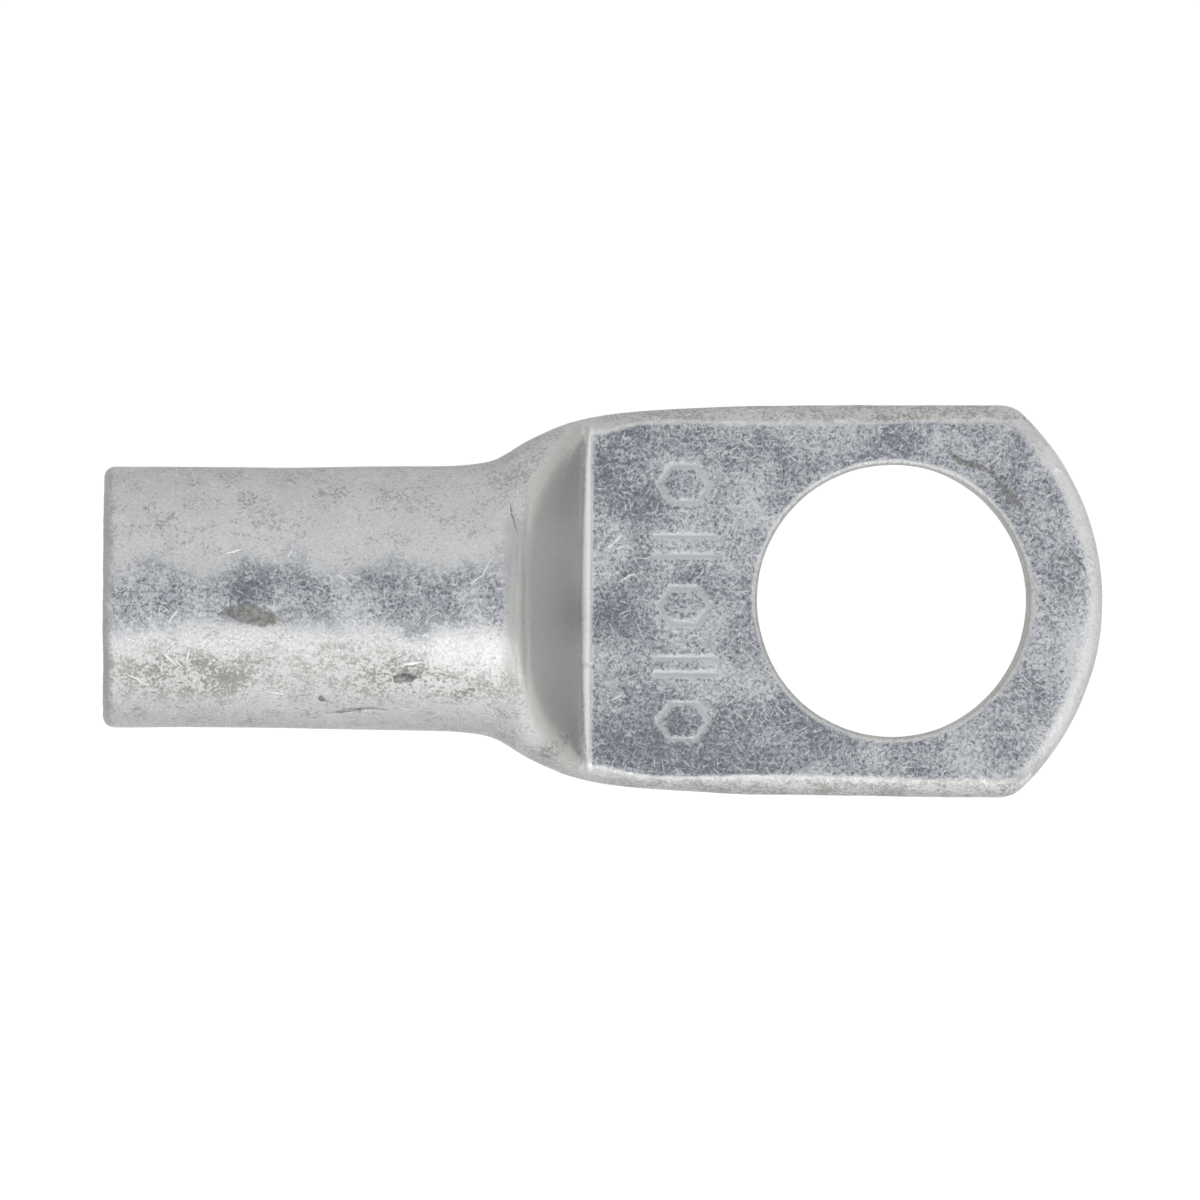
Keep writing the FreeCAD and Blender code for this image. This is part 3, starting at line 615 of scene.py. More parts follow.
def crowding(x, y):
    """How crowded the speckle is, 0.5 where none of the rows reaches."""
    result = np.full_like(x, 0.5)
    for centre, length, width, turn, strength in CROWDS:
        result = result + 0.5 * strength * spot(x, y, centre, length, width, turn)
    return np.clip(result, 0, 1)


def facet_share(x, y, z):
    """1 on the slope that the press flattened, and a little less on the bend before it, where shade is
    painted.
    """
    skin, top, _, _ = edge_distances(x, y, z)
    bend = 0.7 * fade(x, *BEND_START) * fade(2.9 - np.abs(y), 0, 0.9)
    slope = fade(x, *SLOPE_START)
    share = slope * fade(top - skin, -0.5, -0.15) + bend * (1 - slope)
    return share * (1 - fade(x, *SLOPE_END)) * fade(z, *TOP_SIDE)


def cut_share(x, y, z):
    """1 in the hole and on the cropped end, where the tube was cut through."""
    hole = fade(HOLE_RADIUS - np.hypot(x, y), -0.12, 0.0)
    end = fade(end_distance(x, y), -0.14, -0.04)
    return np.maximum(hole, end) * fade(PALM_TOP - z, 0.02, 0.2)


def upward_share(x, y, z, facing_up):
    """1 where the surface lies level, with an uneven border: the plating's own dull mottling on the palm, and
    on the barrel's crown a painted shade band in place of the dark overhead's reflection.
    """
    wander = 1 + 0.45 * noise(x, y, z, 1.3, 91) + 0.35 * noise(x, y, z, 0.45, 92)
    return 1 - fade(np.sqrt(np.maximum(1 - facing_up, 0)) * wander, 0.02, 0.27)


def tip_edge_highlight_share(x, y):
    """Along the palm's cropped end, where a highlight is painted."""
    return 0.6 * fade(end_distance(x, y), -0.75, -0.35) * fade(x, *TIP_START)


def grime_share(x, y, z):
    """Where grime has gathered: low along the barrel, on the neck and on the palm's sides."""
    along = fade(-y, 1.3, 1.9) * (1 - fade(-y, 2.9, 3.4)) * (1 - fade(x, *BARREL_END)) * fade(z, *TOP_SIDE)
    gathered = 0.55
    for centre, length, width, turn, strength in GRIME_ALONG_BARREL:
        gathered = gathered + strength * spot(x, y, centre, length, width, turn)
    shares = [along * np.clip(gathered, 0, 1)]
    for centre, length, width, turn, strength in GRIME_ON_NECK:
        shares.append(strength * spot(x, y, centre, length, width, turn))
    sides = 0.75 * fade(np.abs(y), 5.35, 5.65) * fade(x, *PALM_SIDES_START)
    shares.append(sides * (1 - tip_edge_highlight_share(x, y)))
    return np.max(shares, axis=0)


def lip_light_share(x, y, z):
    """1 where a highlight is painted on the foot of the step and on the palm's burrs, -1 where a shadow line
    is painted beside the foot.
    """
    start = -9.62 + 0.2 * (y / 5.2) ** 2 + 0.02 * noise(x, y, z, 0.9, 61)
    band = fade(x, start, start + 0.04) * (1 - fade(x, -9.30, -9.24))
    line = 0.8 * ridge(x - start + 0.05, 0.05)
    nick = 1 - ridge(y - NICK_ALONG_LIP, 0.06)
    foot = (band * nick - line) * fade(5.4 - np.abs(y), 0, 0.2) * fade(z, 1.6, 1.95)
    skin, top, _, _ = edge_distances(x, y, z)
    rim = ridge(skin - top, 0.05) * fade(x, *PALM_START) * fade(z, *TOP_SIDE)
    return np.clip(foot + 0.6 * rim * np.clip(0.5 + 0.9 * ragged(x, y, z, 81), 0, 1), -1, 1)


def shares_of_wear_and_painted_light(x, y, z, facing_up):
    """What the material reads at each vertex, by name: wear, and where shade and highlights are painted."""
    on_top = fade(z, *TOP_SIDE)
    return {
        "groove": fade(1.5 * STAMP_WIDTH - stamp_distance(x, y), 0, 0.08) * on_top,
        "facet": facet_share(x, y, z),
        "cut": cut_share(x, y, z),
        "upward": upward_share(x, y, z, facing_up),
        "grime": grime_share(x, y, z),
        "patch": patch_share(x, y, z),
        "crowd": crowding(x, y),
        "painted_highlight": np.maximum(spot(x, y, *PAINTED_HIGHLIGHT_SPOT), tip_edge_highlight_share(x, y)) * on_top,
        "lip": lip_light_share(x, y, z),
    }


def slope_of(distance, points):
    """Which way and how steeply a distance grows at each point."""
    step = 0.004
    slopes = []
    for axis in range(3):
        shift = np.zeros(3)
        shift[axis] = step
        ahead = distance(*(points + shift).T)
        behind = distance(*(points - shift).T)
        slopes.append((ahead - behind) / (2 * step))
    return np.stack(slopes, 1)


def directions(slopes):
    """The slopes at length 1."""
    return slopes / np.linalg.norm(slopes, axis=1)[:, None]


LONGEST_MOVE = 0.08


def project(points, rounds):
    """Move points onto the plain form, along its slope."""
    for _ in range(rounds):
        slope = slope_of(plain_distance, points)
        size = np.maximum((slope**2).sum(1), 0.25)
        move = slope * (plain_distance(*points.T) / size)[:, None]
        length = np.linalg.norm(move, axis=1)
        move *= np.minimum(1, LONGEST_MOVE / np.maximum(length, 1e-9))[:, None]
        points = points - move
    return points


def vertex_places(mesh):
    places = np.zeros(len(mesh.vertices) * 3)
    mesh.vertices.foreach_get("co", places)
    return places.reshape(-1, 3)


def set_places(mesh, places):
    mesh.vertices.foreach_set("co", places.ravel())
    mesh.update()


def apply_modifiers(piece):
    graph = bpy.context.evaluated_depsgraph_get()
    mesh = bpy.data.meshes.new_from_object(piece.evaluated_get(graph))
    piece.modifiers.clear()
    piece.data = mesh
    return mesh


def add_value(mesh, name, values):
    attribute = mesh.attributes.new(name, "FLOAT", "POINT")
    attribute.data.foreach_set("value", values.astype(np.float32))


FACE_SIZE = 0.078
# The share of the faces that is kept, most of them above, and the grades of thinning.
FACES_KEPT = 0.445
GRADES = 10


def leave_coarse_below(piece, points):
    """Thin the mesh out where it faces down or lies in the bore, and keep it fine above."""
    facing_up = directions(slope_of(plain_distance, points))[:, 2]
    x, y, z = points.T
    bore = (1 - fade(np.abs(closing.distance(x, y, z)), 0.2, 0.4)) * (x < STEP)
    bore = bore * fade(x, MOUTH + 0.5, MOUTH + 1.0)
    thinning = np.round(GRADES * np.maximum(1 - fade(facing_up, -0.3, 0.1), bore)).astype(int)
    group = piece.vertex_groups.new(name="coarse")
    for grade in range(1, GRADES + 1):
        chosen = np.nonzero(thinning == grade)[0]
        group.add(chosen.tolist(), grade / GRADES, "REPLACE")
    thin = piece.modifiers.new("thin", "DECIMATE")
    thin.decimate_type = "COLLAPSE"
    thin.ratio = FACES_KEPT
    thin.vertex_group = "coarse"
    thin.vertex_group_factor = 1000


def make_terminal(node):
    """The terminal's visible mesh: the CAD node's form, drawn finely, with its marks."""
    mesh = node.data.copy()
    mesh.materials.clear()
    piece = bpy.data.objects.new("terminal", mesh)
    bpy.context.scene.collection.objects.link(piece)
    set_places(mesh, vertex_places(mesh) / MM)
    remesh = piece.modifiers.new("fine", "REMESH")
    remesh.mode = "VOXEL"
    remesh.voxel_size = FACE_SIZE
    remesh.use_smooth_shade = True
    mesh = apply_modifiers(piece)
    points = project(vertex_places(mesh), 4)
    set_places(mesh, points)
    leave_coarse_below(piece, points)
    mesh = apply_modifiers(piece)
    points = project(vertex_places(mesh), 2)
    rise = marks(*points.T)
    points = points + directions(slope_of(plain_distance, points)) * rise[:, None]
    facing_up = directions(slope_of(plain_distance, points))[:, 2]
    for name, values in shares_of_wear_and_painted_light(*points.T, facing_up).items():
        add_value(mesh, name, values)
    normals = directions(slope_of(surface, points))
    set_places(mesh, points * MM)
    for polygon in mesh.polygons:
        polygon.use_smooth = True
    mesh.normals_split_custom_set_from_vertices(normals.tolist())
    triangles = sum(len(p.vertices) - 2 for p in mesh.polygons)
    print("terminal triangles", triangles)
    return piece


class Nodes:
    """Shorthand for building a material's nodes."""

    def __init__(self, tree):
        self.tree = tree
        tree.nodes.clear()

    def feed(self, socket, value):
        """Link another node's output to the socket, or set the socket's own value."""
        if hasattr(value, "is_output"):
            self.tree.links.new(value, socket)
        else:
            socket.default_value = value

    def add(self, kind, inputs=None, **settings):
        node = self.tree.nodes.new(kind)
        for name, value in settings.items():
            setattr(node, name, value)
        for name, value in (inputs or {}).items():
            self.feed(node.inputs[name], value)
        return node

    def noise(self, vector, scale, detail=2.0, rough=0.5, warp=0.0):
        inputs = {"Vector": vector, "Scale": scale, "Detail": detail}
        inputs |= {"Roughness": rough, "Distortion": warp}
        return self.add("ShaderNodeTexNoise", inputs).outputs["Fac"]

    def ramp(self, value, low, high, to_low=0.0, to_high=1.0):
        inputs = {"Value": value, "From Min": low, "From Max": high, "To Min": to_low, "To Max": to_high}
        return self.add("ShaderNodeMapRange", inputs, interpolation_type="SMOOTHSTEP").outputs["Result"]

    def maths(self, operation, first, second=0.0):
        return self.add("ShaderNodeMath", {0: first, 1: second}, operation=operation).outputs["Value"]

    def plus(self, first, second):
        return self.maths("ADD", first, second)

    def minus(self, first, second):
        return self.maths("SUBTRACT", first, second)

    def times(self, first, second):
        return self.maths("MULTIPLY", first, second)

    def larger(self, first, second):
        return self.maths("MAXIMUM", first, second)

    def vector(self, operation, first, second):
        inputs = {0: first, 1: second}
        return self.add("ShaderNodeVectorMath", inputs, operation=operation).outputs["Vector"]

    def scaled(self, vector, factor):
        inputs = {0: vector, "Scale": factor}
        return self.add("ShaderNodeVectorMath", inputs, operation="SCALE").outputs["Vector"]

    def mix(self, share, first, second):
        """A colour between two, which are outputs or red, green and blue."""
        node = self.add("ShaderNodeMix", data_type="RGBA")
        self.feed(node.inputs[0], share)
        for socket, colour in ((node.inputs[6], first), (node.inputs[7], second)):
            self.feed(socket, (*colour, 1.0) if isinstance(colour, tuple) else colour)
        return node.outputs[2]


# Colours of the plating, of what lies on it and of the painted shade and highlights, as red, green and blue
# in linear light.
SIDE_TIN = (0.695, 0.692, 0.686)
TOP_TIN = (0.65, 0.663, 0.686)
# Painted highlight, for the barrel's end and the palm's tip.
PAINTED_HIGHLIGHT_TIN = (0.92, 0.92, 0.91)
SPECKLE = (0.20, 0.213, 0.245)
PALE_SPECKLE = (0.82, 0.82, 0.82)
BRIGHT_LINE = (0.94, 0.94, 0.92)
STAIN = (0.23, 0.222, 0.197)
# The slope's colours: dark and light by its grain, low and high by painted shade.
FACET_LOW_DARK = (0.47, 0.453, 0.43)
FACET_LOW_LIGHT = (0.60, 0.583, 0.555)
FACET_HIGH_DARK = (0.56, 0.545, 0.52)
FACET_HIGH_LIGHT = (0.68, 0.665, 0.64)
BEND_PAINTED_SHADE = (0.36, 0.352, 0.335)
GROOVE_TIN = (0.53, 0.528, 0.515)
PATCH_LIGHT = (0.33, 0.325, 0.30)
PATCH_DARK = (0.15, 0.148, 0.137)
DARK_STROKE = (0.17, 0.175, 0.19)
BRIGHT_STROKE_AND_GLINT = (0.97, 0.97, 0.96)
# Painted highlight and painted shadow line at the foot of the step.
LIP_PAINTED_HIGHLIGHT = (0.90, 0.90, 0.90)
LIP_PAINTED_SHADOW = (0.38, 0.355, 0.285)
# Painted shade for the mouth's rounded edge.
MOUTH_PAINTED_SHADE = (0.42, 0.41, 0.385)
SEAM = (0.16, 0.15, 0.13)

# Single scratches: place, half length, half width, turn in degrees. Among the bright ones, the last is a
# painted glint on the burr at the tip's corner.
BRIGHT_STROKES_AND_GLINT = [
    ((-8.62, 1.74), 0.28, 0.040, 50),
    ((-8.42, 1.60), 0.18, 0.035, 20),
    ((-8.25, 0.68), 0.30, 0.035, 25),
    ((-8.50, -3.00), 0.22, 0.035, 25),
    ((5.08, 4.10), 0.20, 0.050, -20),
    ((-22.15, -0.55), 0.30, 0.035, 62),
    ((-22.30, -1.90), 0.34, 0.040, -50),
    ((-22.00, -2.05), 0.26, 0.035, -35),
    ((-21.70, -1.85), 0.28, 0.035, 75),
    ((-23.20, -2.55), 0.42, 0.035, -28),
    ((-19.00, -2.90), 0.32, 0.035, -10),
    ((-18.65, 1.35), 0.22, 0.035, 60),
    ((-20.30, 1.40), 0.30, 0.030, 12),
    ((-14.90, -1.95), 0.30, 0.060, 8),
    ((-12.65, 0.95), 0.36, 0.035, 58),
    ((-12.95, 0.60), 0.26, 0.030, 40),
    ((-17.00, 0.55), 0.28, 0.030, -30),
    # A painted glint on the burr at the tip's corner.
    ((4.15, -5.52), 0.26, 0.080, 45),
]
DARK_STROKES = [
    ((-3.45, 4.10), 1.00, 0.022, 88),
    ((5.72, 1.22), 0.65, 0.035, -58),
    ((5.25, 1.45), 0.30, 0.030, 68),
    ((-16.90, -3.48), 0.60, 0.040, 8),
    ((-16.00, -3.36), 0.45, 0.035, -6),
    ((-11.86, 2.50), 0.60, 0.024, -79),
    ((-6.60, -5.12), 0.70, 0.035, -10),
    ((-17.65, -3.08), 0.10, 0.080, 0),
    ((-14.95, -2.35), 0.36, 0.060, -6),
]
STROKE_BEND = 0.3
ENDLESS = 1000000.0


def scratches(nodes, place, scale, thickness, length, seed):
    """Short straight scratches, one in each cell, each turned its own way, some left out."""
    shift = nodes.vector("ADD", place, (seed, 2.0 * seed, 0.0))
    cell = nodes.add("ShaderNodeTexVoronoi", {"Vector": shift, "Scale": scale}, voronoi_dimensions="2D")
    centre = nodes.scaled(cell.outputs["Position"], scale)
    local = nodes.vector("SUBTRACT", nodes.scaled(shift, scale), centre)
    parts = nodes.add("ShaderNodeSeparateColor", {"Color": cell.outputs["Color"]})
    turn = nodes.times(parts.outputs["Red"], 2 * math.pi)
    inputs = {"Vector": local, "Angle": turn}
    turned = nodes.add("ShaderNodeVectorRotate", inputs, rotation_type="Z_AXIS").outputs["Vector"]
    axes = nodes.add("ShaderNodeSeparateXYZ", {"Vector": turned})
    across = nodes.maths("ABSOLUTE", axes.outputs["Y"])
    along = nodes.maths("ABSOLUTE", axes.outputs["X"])
    thin = nodes.ramp(across, thickness * 0.5, thickness * 1.5, 1.0, 0.0)
    short = nodes.ramp(along, length * 0.5, length, 1.0, 0.0)
    some = nodes.ramp(parts.outputs["Green"], 0.55, 0.60)
    return nodes.times(nodes.times(thin, short), some)


def strokes(nodes, place, rows):
    """Single marks at given places, scratches and one painted glint, one ellipse each, seen from above."""
    nearest = None
    for centre, length, width, turn in rows:
        inputs = {
            "Vector": place,
            "Location": (*centre, 0.0),
            "Rotation": (0.0, 0.0, math.radians(turn)),
            "Scale": (length, width, ENDLESS),
        }
        local = nodes.add("ShaderNodeMapping", inputs, vector_type="TEXTURE").outputs["Vector"]
        reach = nodes.add("ShaderNodeVectorMath", {0: local}, operation="LENGTH").outputs["Value"]
        nearest = reach if nearest is None else nodes.maths("MINIMUM", nearest, reach)
    return nodes.ramp(nearest, 0.5, 1.2, 1.0, 0.0)


def bent(nodes, place):
    """The same place, shifted a little this way and that, so that strokes aren't straight."""
    inputs = {"Vector": place, "Scale": 1.3, "Detail": 2.0}
    wander = nodes.add("ShaderNodeTexNoise", inputs).outputs["Color"]
    wander = nodes.vector("SUBTRACT", wander, (0.5, 0.5, 0.5))
    return nodes.vector("ADD", place, nodes.scaled(wander, STROKE_BEND))


def dullness(nodes, place, worn_and_painted_light, patches, speckle, smooth):
    """How dull the plating is: more in the speckle and where it crowds, less under the painted highlights."""
    gather = nodes.plus(nodes.times(patches, 0.45), nodes.times(worn_and_painted_light["crowd"], 0.16))
    level = nodes.plus(speckle, nodes.minus(gather, 0.305))
    level = nodes.minus(level, nodes.times(smooth, 0.2))
    level = nodes.minus(level, nodes.times(worn_and_painted_light["painted_highlight"], 0.1))
    return nodes.plus(level, nodes.times(scratches(nodes, place, 4.3, 0.06, 0.48, 41.0), 0.10))


def bright_lines(nodes, place, patches, smooth):
    """Fine bright scratches all over, fewer where the plating is whole."""
    fine = scratches(nodes, place, 1.9, 0.035, 0.42, 3.0)
    more = scratches(nodes, place, 3.3, 0.05, 0.45, 17.0)
    short = scratches(nodes, place, 5.3, 0.055, 0.45, 29.0)
    lines = nodes.times(nodes.larger(fine, more), nodes.ramp(patches, 0.42, 0.6, 0.25, 1.0))
    lines = nodes.larger(lines, nodes.times(short, 0.6))
    return nodes.times(lines, nodes.ramp(smooth, 0.0, 0.5, 1.0, 0.0))


def stain_share(nodes, worn_and_painted_light, height, crumbled):
    """Brownish stains on all that isn't level, thicker where grime has gathered."""
    stains = nodes.ramp(crumbled, 0.53, 0.58, 0.0, 0.7)
    stains = nodes.times(stains, nodes.ramp(height, 1.5, 3.5, 0.4, 1.0))
    dirt = nodes.times(nodes.ramp(crumbled, 0.48, 0.54), worn_and_painted_light["grime"])
    dirt = nodes.times(dirt, nodes.ramp(worn_and_painted_light["painted_highlight"], 0.2, 0.8, 1.0, 0.25))
    stains = nodes.larger(stains, dirt)
    stains = nodes.times(stains, nodes.ramp(worn_and_painted_light["upward"], 0.0, 0.6, 1.0, 0.0))
    return nodes.times(stains, nodes.ramp(worn_and_painted_light["facet"], 0.0, 1.0, 1.0, 0.15))


def facet_colour(nodes, along, grain):
    """The flattened slope with painted shade: lighter towards its top, darker at its foot, and the bend
    before it darker still.
    """
    grainy = nodes.ramp(grain, 0.3, 0.7)
    low = nodes.mix(grainy, FACET_LOW_DARK, FACET_LOW_LIGHT)
    high = nodes.mix(grainy, FACET_HIGH_DARK, FACET_HIGH_LIGHT)
    slope = nodes.mix(nodes.ramp(along, -11.3, -9.8, 1.0, 0.0), low, high)
    return nodes.mix(nodes.ramp(along, -11.5, -11.3, 1.0, 0.0), slope, BEND_PAINTED_SHADE)


def patched(nodes, colour, worn_and_painted_light, crumbs):
    """The colour with the dark patches on it, crumbling at their borders."""
    patch_colour = nodes.mix(nodes.ramp(crumbs, 0.42, 0.60), PATCH_LIGHT, PATCH_DARK)
    border = nodes.plus(worn_and_painted_light["patch"], nodes.times(nodes.minus(crumbs, 0.5), 1.6))
    share = nodes.times(nodes.ramp(border, 0.42, 0.65), nodes.ramp(worn_and_painted_light["patch"], 0.4, 1.0, 0.4, 0.85))
    return nodes.mix(share, colour, patch_colour)


def mouth_shade_share(nodes, along, crumbled):
    """Along the mouth's rounded edge, where shade is painted, with an uneven border."""
    return nodes.ramp(nodes.plus(along, nodes.times(crumbled, -1.3)), -24.75, -24.6, 1.0, 0.0)


def seam_share(nodes, worn_and_painted_light, height):
    """Along the line where the two walls meet, on the cut faces."""
    gap = nodes.maths("ABSOLUTE", nodes.minus(height, SEAM_HEIGHT))
    return nodes.times(nodes.ramp(gap, 0.015, 0.05, 1.0, 0.0), worn_and_painted_light["cut"])


WEAR_AND_PAINTED_LIGHT_NAMES = ["groove", "facet", "cut", "upward", "grime", "patch", "crowd", "painted_highlight", "lip"]
BUMP_DEPTH = 0.00003


def make_tin():
    """Dull tin plating: mottled and speckled where it lies flat, smoother and stained elsewhere, with painted
    shade and painted highlights in places.
    """
    material = bpy.data.materials.new("tin_plate")
    material.use_nodes = True
    nodes = Nodes(material.node_tree)
    place = nodes.scaled(nodes.add("ShaderNodeTexCoord").outputs["Object"], 1 / MM)
    axes = nodes.add("ShaderNodeSeparateXYZ", {"Vector": place})
    along = axes.outputs["X"]
    height = axes.outputs["Z"]
    worn_and_painted_light = {}
    for name in WEAR_AND_PAINTED_LIGHT_NAMES:
        worn_and_painted_light[name] = nodes.add("ShaderNodeAttribute", attribute_name=name).outputs["Fac"]
    lip_highlight = nodes.larger(worn_and_painted_light["lip"], 0.0)
    lip_shadow = nodes.larger(nodes.times(worn_and_painted_light["lip"], -1.0), 0.0)
    smooth = nodes.larger(worn_and_painted_light["groove"], nodes.larger(worn_and_painted_light["facet"], worn_and_painted_light["cut"]))
    smooth = nodes.larger(smooth, lip_highlight)

    patches = nodes.noise(place, 0.62, 3.0, 0.6)
    speckle = nodes.noise(place, 8.5, 4.0, 0.8, 0.8)
    grain = nodes.noise(place, 16.0, 3.0, 0.7)
    crumbs = nodes.noise(place, 9.0, 3.0, 0.8, 0.6)
    crumbled = nodes.plus(nodes.times(crumbs, 0.6), nodes.times(nodes.noise(place, 1.1, 6.0, 0.72), 0.4))
    level = dullness(nodes, place, worn_and_painted_light, patches, speckle, smooth)
    # The speckle darkens with the level share, which also paints a shade band along the barrel's crown.
    dark = nodes.times(nodes.ramp(level, 0.37, 0.63), nodes.ramp(worn_and_painted_light["upward"], 0.0, 1.0, 0.16, 1.0))
    pale = nodes.ramp(level, 0.45, 0.33)
    lines = bright_lines(nodes, place, patches, smooth)
    above = nodes.ramp(height, 1.2, 1.8)
    wavering = bent(nodes, place)
    bright_strokes_and_glint = nodes.times(strokes(nodes, wavering, BRIGHT_STROKES_AND_GLINT), above)
    dark_strokes = nodes.times(strokes(nodes, wavering, DARK_STROKES), above)
    dark_strokes = nodes.times(dark_strokes, nodes.ramp(crumbs, 0.38, 0.52, 0.2, 1.0))
    stains = stain_share(nodes, worn_and_painted_light, height, crumbled)

    # Level faces take the top tone; on the barrel's crown it is part of the painted shade band.
    colour = nodes.mix(worn_and_painted_light["upward"], SIDE_TIN, TOP_TIN)
    # Painted highlight near the barrel's end and along the palm's tip.
    colour = nodes.mix(nodes.times(worn_and_painted_light["painted_highlight"], 0.9), colour, PAINTED_HIGHLIGHT_TIN)
    colour = nodes.mix(nodes.times(dark, 0.95), colour, SPECKLE)
    colour = nodes.mix(nodes.times(pale, 0.45), colour, PALE_SPECKLE)
    colour = nodes.mix(nodes.times(lines, 0.55), colour, BRIGHT_LINE)
    colour = nodes.mix(nodes.times(stains, 0.78), colour, STAIN)
    # Painted shade on the flattened slope and on the bend before it.
    colour = nodes.mix(nodes.times(worn_and_painted_light["facet"], 0.85), colour, facet_colour(nodes, along, grain))
    colour = nodes.mix(nodes.times(worn_and_painted_light["groove"], 0.4), colour, GROOVE_TIN)
    colour = patched(nodes, colour, worn_and_painted_light, crumbs)
    colour = nodes.mix(nodes.times(dark_strokes, 0.75), colour, DARK_STROKE)
    colour = nodes.mix(nodes.times(bright_strokes_and_glint, 0.85), colour, BRIGHT_STROKE_AND_GLINT)
    # Painted highlight on the foot of the step and the palm's burrs, and a painted shadow line beside the
    # foot.
    colour = nodes.mix(nodes.times(lip_highlight, 0.35), colour, LIP_PAINTED_HIGHLIGHT)
    colour = nodes.mix(nodes.times(lip_shadow, 0.7), colour, LIP_PAINTED_SHADOW)
    # Painted shade on the mouth's rounded edge.
    colour = nodes.mix(nodes.times(mouth_shade_share(nodes, along, crumbled), 0.7), colour, MOUTH_PAINTED_SHADE)
    colour = nodes.mix(nodes.times(seam_share(nodes, worn_and_painted_light, height), 0.8), colour, SEAM)

    roughness = nodes.ramp(level, 0.42, 0.64, 0.42, 0.22)
    relief = nodes.plus(speckle, nodes.times(grain, 0.35))
    relief = nodes.plus(relief, nodes.times(lines, 0.6))
    relief = nodes.plus(relief, bright_strokes_and_glint)
    relief = nodes.minus(relief, nodes.times(dark_strokes, 0.5))
    strength = nodes.ramp(smooth, 0.0, 1.0, 0.7, 0.2)
    bump = nodes.add("ShaderNodeBump", {"Height": relief, "Strength": strength, "Distance": BUMP_DEPTH})
    shader = nodes.add(
        "ShaderNodeBsdfPrincipled",
        {"Base Color": colour, "Metallic": 1.0, "Roughness": roughness, "Normal": bump.outputs["Normal"]},
    )
    nodes.add("ShaderNodeOutputMaterial", {"Surface": shader.outputs["BSDF"]})
    return material


CAMERA_DISTANCE = 0.300
CAMERA_AIM = (-0.00905, -0.00002, 0.002)
CAMERA_LEAN = math.radians(2.45)
CAMERA_TURN = math.radians(0.3)
FRAME_WIDTH = 0.03693


def add_camera():
    """A camera overhead that leans a little towards the mouth, so that the mouth is seen edge on."""
    data = bpy.data.cameras.new("camera")
    data.sensor_width = 36.0
    data.lens = data.sensor_width * CAMERA_DISTANCE / FRAME_WIDTH
    data.clip_start = 0.01
    data.clip_end = 10.0
    camera = bpy.data.objects.new("camera", data)
    away = Vector((-math.sin(CAMERA_LEAN), 0.0, math.cos(CAMERA_LEAN)))
    camera.location = Vector(CAMERA_AIM) + away * CAMERA_DISTANCE
    lean = Matrix.Rotation(-CAMERA_LEAN, 4, "Y")
    turn = Matrix.Rotation(CAMERA_TURN, 4, "Z")
    camera.rotation_euler = (lean @ turn).to_euler()
    bpy.context.scene.collection.objects.link(camera)
    bpy.context.scene.camera = camera


# The floor lies just under the barrel. What the camera sees of it is mostly whitened.
FLOOR_GAP = 0.03
FLOOR_REACH = 2.0
FLOOR_TONE = 0.85
FLOOR_WHITENED = 0.8
WHITENED_STRENGTH = 1.16


def add_floor():
    level = (AXIS_HEIGHT - BARREL_RADIUS - FLOOR_GAP) * MM
    reach = FLOOR_REACH
    mesh = bpy.data.meshes.new("floor")
    corners = [(-reach, -reach, level), (reach, -reach, level), (reach, reach, level), (-reach, reach, level)]
    mesh.from_pydata(corners, [], [(0, 1, 2, 3)])
    floor = bpy.data.objects.new("floor", mesh)
    bpy.context.scene.collection.objects.link(floor)
    material = bpy.data.materials.new("floor")
    material.use_nodes = True
    nodes = Nodes(material.node_tree)
    path = nodes.add("ShaderNodeLightPath")
    tone = (FLOOR_TONE, FLOOR_TONE, FLOOR_TONE, 1.0)
    pale = nodes.add("ShaderNodeBsdfDiffuse", {"Color": tone})
    white = nodes.add("ShaderNodeEmission", {"Color": (1.0, 1.0, 1.0, 1.0), "Strength": WHITENED_STRENGTH})
    share = nodes.times(path.outputs["Is Camera Ray"], FLOOR_WHITENED)
    inputs = {0: share, 1: pale.outputs["BSDF"], 2: white.outputs["Emission"]}
    mixed = nodes.add("ShaderNodeMixShader", inputs)
    nodes.add("ShaderNodeOutputMaterial", {"Surface": mixed.outputs["Shader"]})
    mesh.materials.append(material)


# Soft lamps: name, tilt from straight up and compass angle from +X in degrees, sides in
# metres, radiance and colour. All stand at one distance from one point on the terminal.
LAMPS = [
    ("key", 37, -90, (0.46, 0.19), 1.34, (1.0, 1.0, 0.985)),
    ("fill", 38, 90, (0.42, 0.10), 0.80, (0.93, 0.97, 1.0)),
    ("end", 36, 0, (0.16, 0.42), 0.50, (1.0, 1.0, 1.0)),
    ("corner", 45, -60, (0.15, 0.15), 1.3, (1.0, 1.0, 1.0)),
    ("low", 86, -90, (0.60, 0.10), 1.30, (1.0, 1.0, 1.0)),
]
LAMP_DISTANCE = 0.5
LAMP_AIM = (-0.009, 0.0, 0.0)


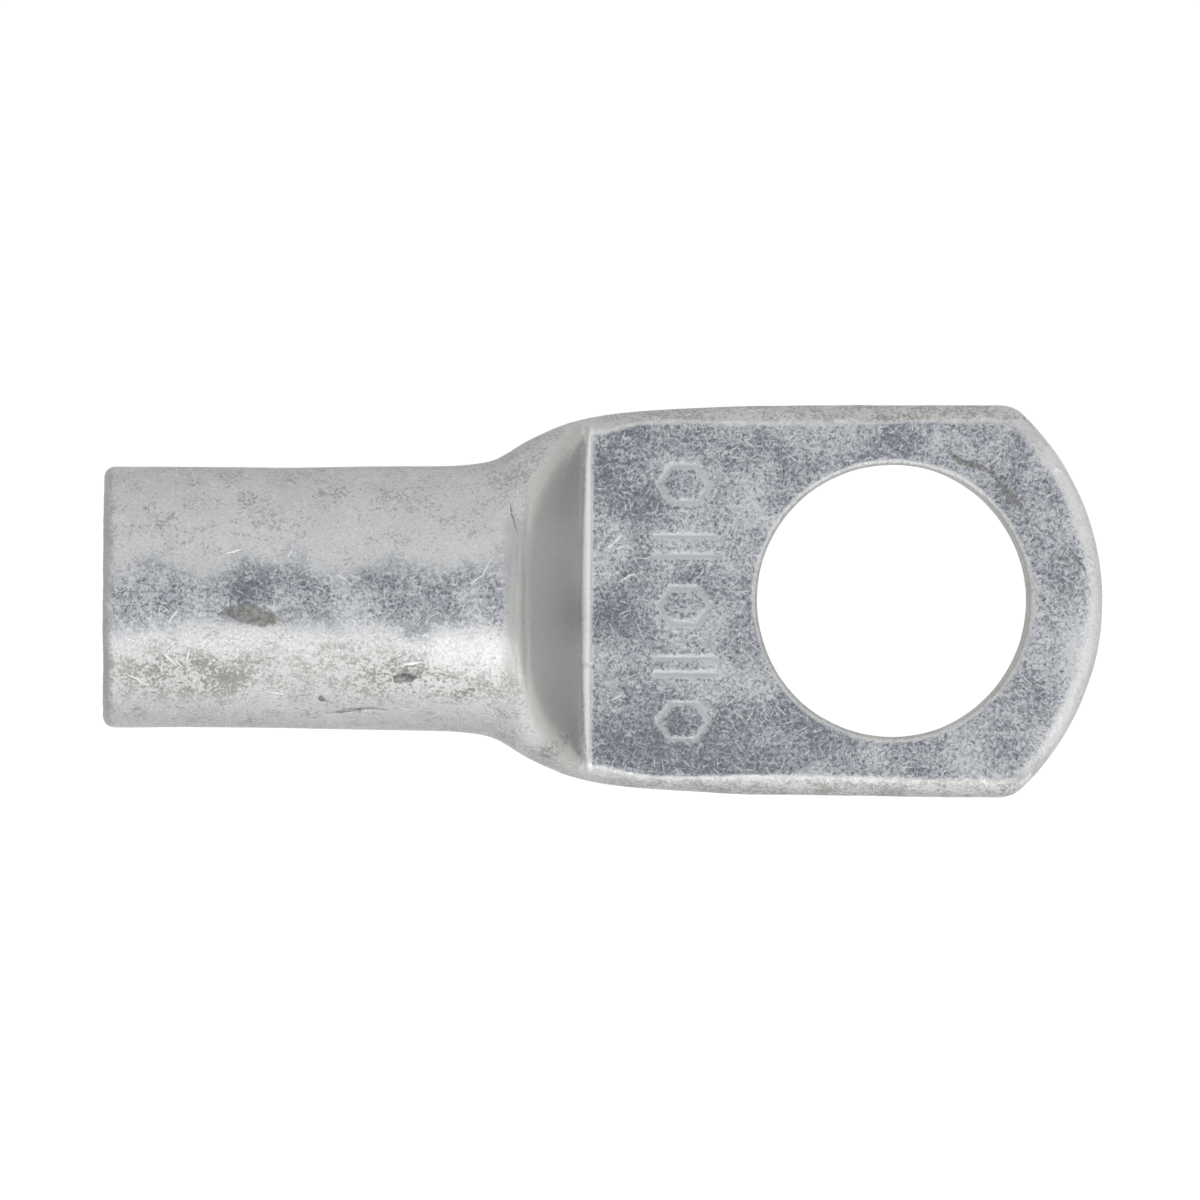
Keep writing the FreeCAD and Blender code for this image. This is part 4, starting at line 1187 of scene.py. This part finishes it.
def add_softbox(name, tilt, towards, size, radiance, colour):
    data = bpy.data.lights.new(name, "AREA")
    data.shape = "RECTANGLE"
    data.size, data.size_y = size
    data.energy = radiance * math.pi * size[0] * size[1]
    data.color = colour
    lamp = bpy.data.objects.new(name, data)
    turn = math.radians(towards)
    lean = math.radians(tilt)
    direction = Vector((math.sin(lean) * math.cos(turn), math.sin(lean) * math.sin(turn), math.cos(lean)))
    lamp.location = Vector(LAMP_AIM) + direction * LAMP_DISTANCE
    lamp.rotation_mode = "QUATERNION"
    lamp.rotation_quaternion = direction.to_track_quat("Z", "Y")
    bpy.context.scene.collection.objects.link(lamp)


# Tones of the tent, and the heights in its direction, as a sine, between which it
# darkens overhead and turns into the camera's opening.
TENT = (0.80, 0.80, 0.80)
TENT_OVERHEAD = (0.51, 0.525, 0.55)
OPENING = (0.12, 0.12, 0.13)
OVERHEAD_FROM = (0.70, 0.97)
OPENING_FROM = (0.985, 0.995)
WHITE = (1.0, 1.0, 1.0)


def add_world():
    """An even pale tent, darker overhead, with the camera's own dark opening in its top."""
    world = bpy.data.worlds.new("tent")
    bpy.context.scene.world = world
    world.use_nodes = True
    nodes = Nodes(world.node_tree)
    direction = nodes.add("ShaderNodeTexCoord").outputs["Generated"]
    height = nodes.add("ShaderNodeSeparateXYZ", {"Vector": direction}).outputs["Z"]
    tone = nodes.mix(nodes.ramp(height, *OVERHEAD_FROM), TENT, TENT_OVERHEAD)
    tone = nodes.mix(nodes.ramp(height, *OPENING_FROM), tone, OPENING)
    seen = nodes.add("ShaderNodeLightPath").outputs["Is Camera Ray"]
    tone = nodes.mix(seen, tone, WHITE)
    light = nodes.add("ShaderNodeBackground", {"Color": tone, "Strength": 1.0})
    nodes.add("ShaderNodeOutputWorld", {"Surface": light.outputs["Background"]})


def main():
    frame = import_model()
    terminal = make_terminal(frame["nodes"]["terminal_body"])
    terminal.data.materials.append(make_tin())
    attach(terminal, "root")
    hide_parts("terminal_body")
    add_floor()
    for lamp in LAMPS:
        add_softbox(*lamp)
    add_world()
    add_camera()
    bpy.context.scene.view_settings.view_transform = "Standard"


main()
